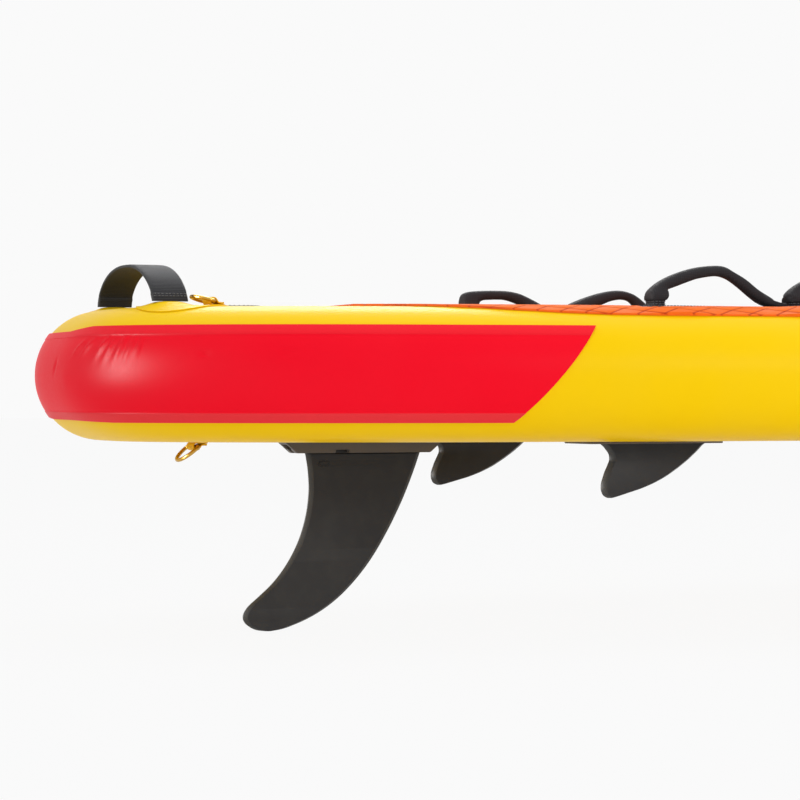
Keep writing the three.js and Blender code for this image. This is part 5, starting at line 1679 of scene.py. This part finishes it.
@dataclass
class Fins(Assembly):
    """The swept centre fin in its box, its release button, and the two side fins."""

    centre: BladeForm = BladeForm(
        0.144,
        0.207,
        8 * MM,
        2 * MM,
        (
            (0.0, -0.006, 1.014), (0.03, 0.002, 0.999), (0.08, 0.014, 0.973),
            (0.14, 0.022, 0.939), (0.2, 0.025, 0.903), (0.27, 0.018, 0.858),
            (0.34, 0.003, 0.808), (0.41, -0.022, 0.755), (0.48, -0.056, 0.697),
            (0.55, -0.102, 0.635), (0.62, -0.161, 0.565), (0.69, -0.235, 0.484),
            (0.75, -0.315, 0.404), (0.81, -0.415, 0.312), (0.86, -0.5, 0.219),
            (0.9, -0.54, 0.129), (0.93, -0.545, 0.047), (0.955, -0.526, -0.035),
            (0.975, -0.491, -0.114), (0.988, -0.458, -0.172), (0.997, -0.42, -0.23),
            (1.003, -0.36, -0.295),
        ),
    )
    side: BladeForm = BladeForm(
        0.142,
        62.5 * MM,
        12 * MM,
        3 * MM,
        (
            (0.0, 0.0, 0.985), (0.05, 0.03, 0.953), (0.1, 0.05, 0.93),
            (0.16, 0.072, 0.901), (0.22, 0.084, 0.868), (0.3, 0.085, 0.824),
            (0.37, 0.072, 0.78), (0.45, 0.055, 0.728), (0.52, 0.04, 0.678),
            (0.6, 0.027, 0.618), (0.67, 0.016, 0.555), (0.74, 0.009, 0.483),
            (0.82, 0.008, 0.384), (0.88, 0.015, 0.289), (0.93, 0.027, 0.208),
            (0.962, 0.045, 0.155), (0.985, 0.068, 0.11),
        ),
    )
    chamfer: float = 5 * MM
    flank_share: float = 0.35
    neck_height: float = 6 * MM
    head_width: float = 16 * MM
    head_height: float = 4 * MM
    pocket: tuple[float, float, float] = (13.6 * MM, 6.6 * MM, 4.5 * MM)
    pocket_offset: tuple[float, float] = (21 * MM, -12 * MM)
    root_z: float = -16.4 * MM
    aft_x: float = -1.289
    side_place: tuple[float, float, float] = (-1.024, 0.24, -3.0 * MM)
    toe_in: float = 3.0

    def blade(self, form: BladeForm, place: tuple[float, float, float], toe_in: float = 0.0) -> Mesh:
        """A blade through level sections, flat between chamfered edges, with its rims marked.

        Args:
            form: Its form.
            place: The aft end of its root.
            toe_in: Its turn about that end, in degrees.

        Returns:
            The mesh.
        """
        rings, rims = [], []
        thin = form.edge / 2
        for down, aft_share, fore_share in smooth_line(np.array(form.sections), 6):
            aft, fore = aft_share * form.chord, fore_share * form.chord
            flank = min(self.chamfer, (fore - aft) * self.flank_share)
            half = thin + (form.thickness - form.edge) / 2 * flank / self.chamfer
            # In from the edge, half thickness there, and how rubbed it is
            rows = [
                (0.0, form.edge * 0.2, 1.0),
                (form.edge * 0.15, thin, 1.0),
                (flank, half - 0.15 * MM, 0.35),
                (flank + 0.4 * MM, half, 0.0),
            ]
            upper = [(aft + inset, y, rim) for inset, y, rim in rows]
            upper += [(fore - inset, y, rim) for inset, y, rim in reversed(rows)]
            outline = upper + [(x, -y, rim) for x, y, rim in reversed(upper)]
            rings.append([(x, y, -down * form.depth) for x, y, _ in outline])
            rims.append([rim for _, _, rim in outline])
        turn = Matrix.Translation(place) @ Matrix.Rotation(math.radians(toe_in), 4, "Z")
        return marked(mesh_of(*tube(np.array(rings)), 0, turn), "rim", rims)

    def pocket_cut(self, blade: Obj) -> None:
        """Sinks the release button's oval pocket into the starboard face of the blade."""
        length, height, deep = self.pocket
        place = (self.aft_x + self.pocket_offset[0], -self.centre.thickness / 2, self.root_z + self.pocket_offset[1])
        cut_hole(blade, place, 0.5, 2 * deep, 48, math.pi / 2, (length, height))
        blade.data.set_sharp_from_angle(angle=math.radians(24))

    def head(self) -> Obj:
        """The fin's neck and wider head, which slide in the box."""
        narrow, wide = self.centre.thickness / 2, self.head_width / 2
        step, top = self.neck_height, self.neck_height + self.head_height
        half = [(narrow, -1 * MM), (narrow, step), (wide, step), (wide, top)]
        profile = half + [(-y, z) for y, z in reversed(half)]
        rings = [[(x, y, z) for y, z in profile] for x in (0.4 * MM, self.centre.chord)]
        mesh = mesh_of(*tube(np.array(rings) + np.array([self.aft_x, 0.0, self.root_z])))
        return new_object("centre_fin_head", marked(mesh, "rim"), BLADE_NYLON, 24)

    def build(self) -> None:
        """Builds the fins, the box and the plates."""
        mesh = self.blade(self.centre, (self.aft_x, 0.0, self.root_z))
        blade = new_object("centre_fin_nylon", mesh, BLADE_NYLON, 24)
        self.pocket_cut(blade)
        self.fit(blade, BLADE_NYLON, ["centre_fin"], "centre_fin")
        self.fit(self.head(), BLADE_NYLON, body="centre_fin")
        button = node_copy("fin_release_button", "fin_button_nylon", BLADE_NYLON, 0.5 * MM)
        self.fit(button, BLADE_NYLON, ["fin_release_button"], "fin_release_button")
        for node, bevel in (("fin_box", 0.7 * MM), ("fin_box_flange", 0.4 * MM)):
            self.fit(node_copy(node, f"{node}_nylon", BOX_NYLON, bevel), BOX_NYLON, [node])
        for side in Side:
            x, y, z = self.side_place
            mesh = self.blade(self.side, (x, side.value * y, z), -side.value * self.toe_in)
            fin = new_object(f"side_fin_nylon_{side.word}", mesh, BLADE_NYLON, 24)
            self.fit(fin, BLADE_NYLON, [f"side_fin_{side.word}"])
            node = f"side_fin_plate_{side.word}"
            self.fit(node_copy(node, f"side_plate_nylon_{side.word}", BOX_NYLON, 0.6 * MM), BOX_NYLON, [node])


@dataclass
class Valve(Assembly):
    """The inflation valve, whose turned parts are welded copies of their solids."""

    ribs: int = 28
    rib_size: tuple[float, float, float] = (4.2 * MM, 1.3 * MM, 0.7 * MM)
    spring_seat_z: float = 142.3 * MM
    poppet_travel: float = 4 * MM

    def cap_ribs(self) -> None:
        """Grip ribs round the cap's rim, set by a node tree."""
        low, high = (Vector(corner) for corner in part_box("valve_cap"))
        centre = (low + high) / 2
        long, _, tall = self.rib_size
        kinds = {"Count": "NodeSocketInt", "Radius": "NodeSocketFloat", "Centre": "NodeSocketVector"}
        tree, given = group_of("cap_ribs", {**kinds, "Rib Size": "NodeSocketVector", "Plastic": "NodeSocketMaterial"})
        circle = add(tree, "GeometryNodeMeshCircle", {"Vertices": given["Count"], "Radius": given["Radius"]})
        rib = add(tree, "GeometryNodeMeshCube", {"Size": given["Rib Size"]})
        outward = {"Vector": add(tree, "GeometryNodeInputPosition")}
        turn = add(tree, "FunctionNodeAlignRotationToVector", outward, axis="X")
        placed = add(tree, "GeometryNodeInstanceOnPoints", {"Points": circle, "Instance": rib, "Rotation": turn})
        moved = add(tree, "GeometryNodeTransform", {"Geometry": placed, "Translation": given["Centre"]})
        ended(tree, moved, given["Plastic"])
        obj = new_object("valve_cap_ribs", bpy.data.meshes.new("raw"), VALVE_NYLON)
        values = {
            "Count": self.ribs,
            "Radius": (high.x - low.x) / 2 - long * 0.6,
            "Centre": (centre.x, centre.y, high.z + tall * 0.3),
            "Rib Size": self.rib_size,
            "Plastic": VALVE_NYLON.material(),
        }
        grown(obj, tree, values)
        self.fit(obj, VALVE_NYLON, body="valve_cap")

    def build(self) -> None:
        """Builds the valve's pieces."""
        self.cap_ribs()
        rows = [
            ("valve_body", VALVE_NYLON, 0.3 * MM, "hull"),
            ("valve_poppet", VALVE_NYLON, 0.2 * MM, "valve_poppet"),
            ("valve_cap", VALVE_NYLON, 0.5 * MM, "valve_cap"),
            ("valve_gasket", SEAL_RUBBER, 0.0, "hull"),
            ("valve_retaining_nut", VALVE_NYLON, 0.0, "hull"),
            ("valve_spring", STEEL, 0.0, "hull"),
        ]
        for node, finish, bevel, body in rows:
            part = self.fit(node_copy(node, f"{node}_part", finish, bevel), finish, [node], body)
            if node == "valve_spring":
                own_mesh(part)


# Studio


@dataclass
class Studio:
    """The pale floor, the soft lights and the camera."""

    backdrop: str = "#fafafa"
    surround: str = "#f4f6fa"
    floor_size: float = 60
    floor_z: float = -0.2245
    floor_glow: float = 0.97
    world_strength: float = 0.71
    # Fitted to the photograph, which is 800 pixels wide: the picture is shifted by 3 of them
    camera_place: tuple[float, float, float] = (-2.38357, -2.86268, 0.05004)
    camera_turn: float = 23.0
    lens: float = 117.0
    sensor: float = 36.0
    shift_y: float = -3 / 800
    # Name, place, aim, width and height, watts, and whether it shows only as a highlight, as a card does
    lamps: tuple[tuple[str, Sequence[float], Sequence[float], Sequence[float], float, bool], ...] = (
        ("overhead_softbox", (-0.6, 0.3, 3.2), (-0.6, 0.0, 0.0), (4.0, 2.4), 42, False),
        ("front_softbox", (0.0, -3.3, 1.15), (-0.8, -0.3, 0.1), (1.3, 0.8), 26, False),
        ("aft_softbox", (-4.2, -0.2, 0.5), (-1.55, -0.15, 0.09), (0.9, 1.4), 300, True),
        ("rear_softbox", (0.2, 2.2, 2.1), (-0.6, -0.25, 0.14), (2.2, 1.0), 80, True),
    )

    def camera(self) -> None:
        """Places the camera that the photograph was fitted with."""
        data = bpy.data.cameras.new("camera")
        data.lens, data.sensor_width, data.shift_y = self.lens, self.sensor, self.shift_y
        obj = bpy.data.objects.new("camera", data)
        obj.location = self.camera_place
        obj.rotation_euler = (math.pi / 2, 0, -math.radians(self.camera_turn))
        bpy.context.scene.collection.objects.link(obj)
        bpy.context.scene.camera = obj

    def light(self) -> None:
        """Adds the soft rectangular lights."""
        for name, place, aim, size, power, gloss_only in self.lamps:
            data = bpy.data.lights.new(name, "AREA")
            data.shape, data.energy = "RECTANGLE", power
            data.size, data.size_y = size
            obj = bpy.data.objects.new(name, data)
            obj.location = place
            obj.rotation_euler = (Vector(aim) - Vector(place)).to_track_quat("-Z", "Y").to_euler()
            obj.visible_diffuse = not gloss_only
            bpy.context.scene.collection.objects.link(obj)

    def backdrop_rays(self, tree: Tree) -> Socket:
        """One for rays that see the backdrop: from the camera, a gloss or a clear body."""
        total = add(tree, "ShaderNodeLightPath", out="Is Camera Ray")
        rays = total.node.outputs
        for word in ("Is Glossy Ray", "Is Transmission Ray"):
            total = add(tree, "ShaderNodeMath", {0: total, 1: rays[word]}, operation="MAXIMUM")
        return total

    def floor(self) -> None:
        """The floor: matt and pale, and as white as the backdrop for the camera, with a faint shadow."""
        bpy.ops.mesh.primitive_plane_add(size=self.floor_size, location=(0, 0, self.floor_z))
        obj = bpy.context.active_object
        obj.name = "studio_floor"
        made = bpy.data.materials.new("studio_floor_paint")
        made.use_nodes = True
        tree = made.node_tree
        tree.nodes.clear()
        matt = add(tree, "ShaderNodeBsdfDiffuse", {"Color": linear(self.backdrop)})
        glow = add(tree, "ShaderNodeEmission", {"Color": linear(self.backdrop), "Strength": 1.0})
        seen = {0: self.backdrop_rays(tree), 1: self.floor_glow}
        share = add(tree, "ShaderNodeMath", seen, operation="MULTIPLY")
        mix = add(tree, "ShaderNodeMixShader", {0: share, 1: matt, 2: glow})
        add(tree, "ShaderNodeOutputMaterial", {"Surface": mix})
        obj.data.materials.append(made)

    def world(self) -> None:
        """A pale surround that lights softly and shows as the backdrop."""
        world = bpy.data.worlds.new("studio_surround")
        world.use_nodes = True
        tree = world.node_tree
        tree.nodes.clear()
        seen = self.backdrop_rays(tree)
        soft = add(tree, "ShaderNodeBackground", {"Color": linear(self.surround), "Strength": self.world_strength})
        back = add(tree, "ShaderNodeBackground", {"Color": linear(self.backdrop), "Strength": 1.0})
        mix = add(tree, "ShaderNodeMixShader", {0: seen, 1: soft, 2: back})
        add(tree, "ShaderNodeOutputWorld", {"Surface": mix})
        bpy.context.scene.world = world

    def build(self) -> None:
        """Builds the studio."""
        bpy.context.scene.view_settings.view_transform = "Standard"
        self.camera()
        self.floor()
        self.world()
        self.light()


def dress_nodes() -> None:
    """Gives each CAD node its finish, whether it shows or not, by the first word that is in its name."""
    words = {
        CORE_CLOTH: ["drop_stitch"],
        PAD_FOAM: ["deck_pad"],
        RED_PVC: ["rail_patch"],
        SLEEVE_KNIT: ["grab_handle", "grip"],
        BLACK_WEBBING: ["strip", "strap", "tail_handle", "nose_handle"],
        BOX_NYLON: ["fin_box", "plate"],
        BLADE_NYLON: ["button", "fin"],
        SEAL_RUBBER: ["gasket"],
        STEEL: ["spring"],
        VALVE_NYLON: ["valve"],
        TAB_PVC: ["tab"],
    }
    for name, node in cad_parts.items():
        found = next((finish for finish, some in words.items() if any(w in name for w in some)), YELLOW_PVC)
        if name.endswith("_ring"):
            found = RING_GOLD_TONE
        if "handle_patch" in name or name.endswith("ring_patch"):
            found = YELLOW_PVC
        node.data.materials.clear()
        node.data.materials.append(found.material())


def main() -> None:
    """Builds the studio and every sub-assembly of the board."""
    logging.basicConfig(level=logging.INFO, format="%(name)s: %(message)s")
    Studio().build()
    dress_nodes()
    for assembly in (Hull(), DeckPad(), GrabHandles(), ArchHandles(), SteelRings(), Fins(), Valve(), SEWING):
        LOG.info("building %s", type(assembly).__name__)
        assembly.build()


if __name__ == "__main__":
    main()
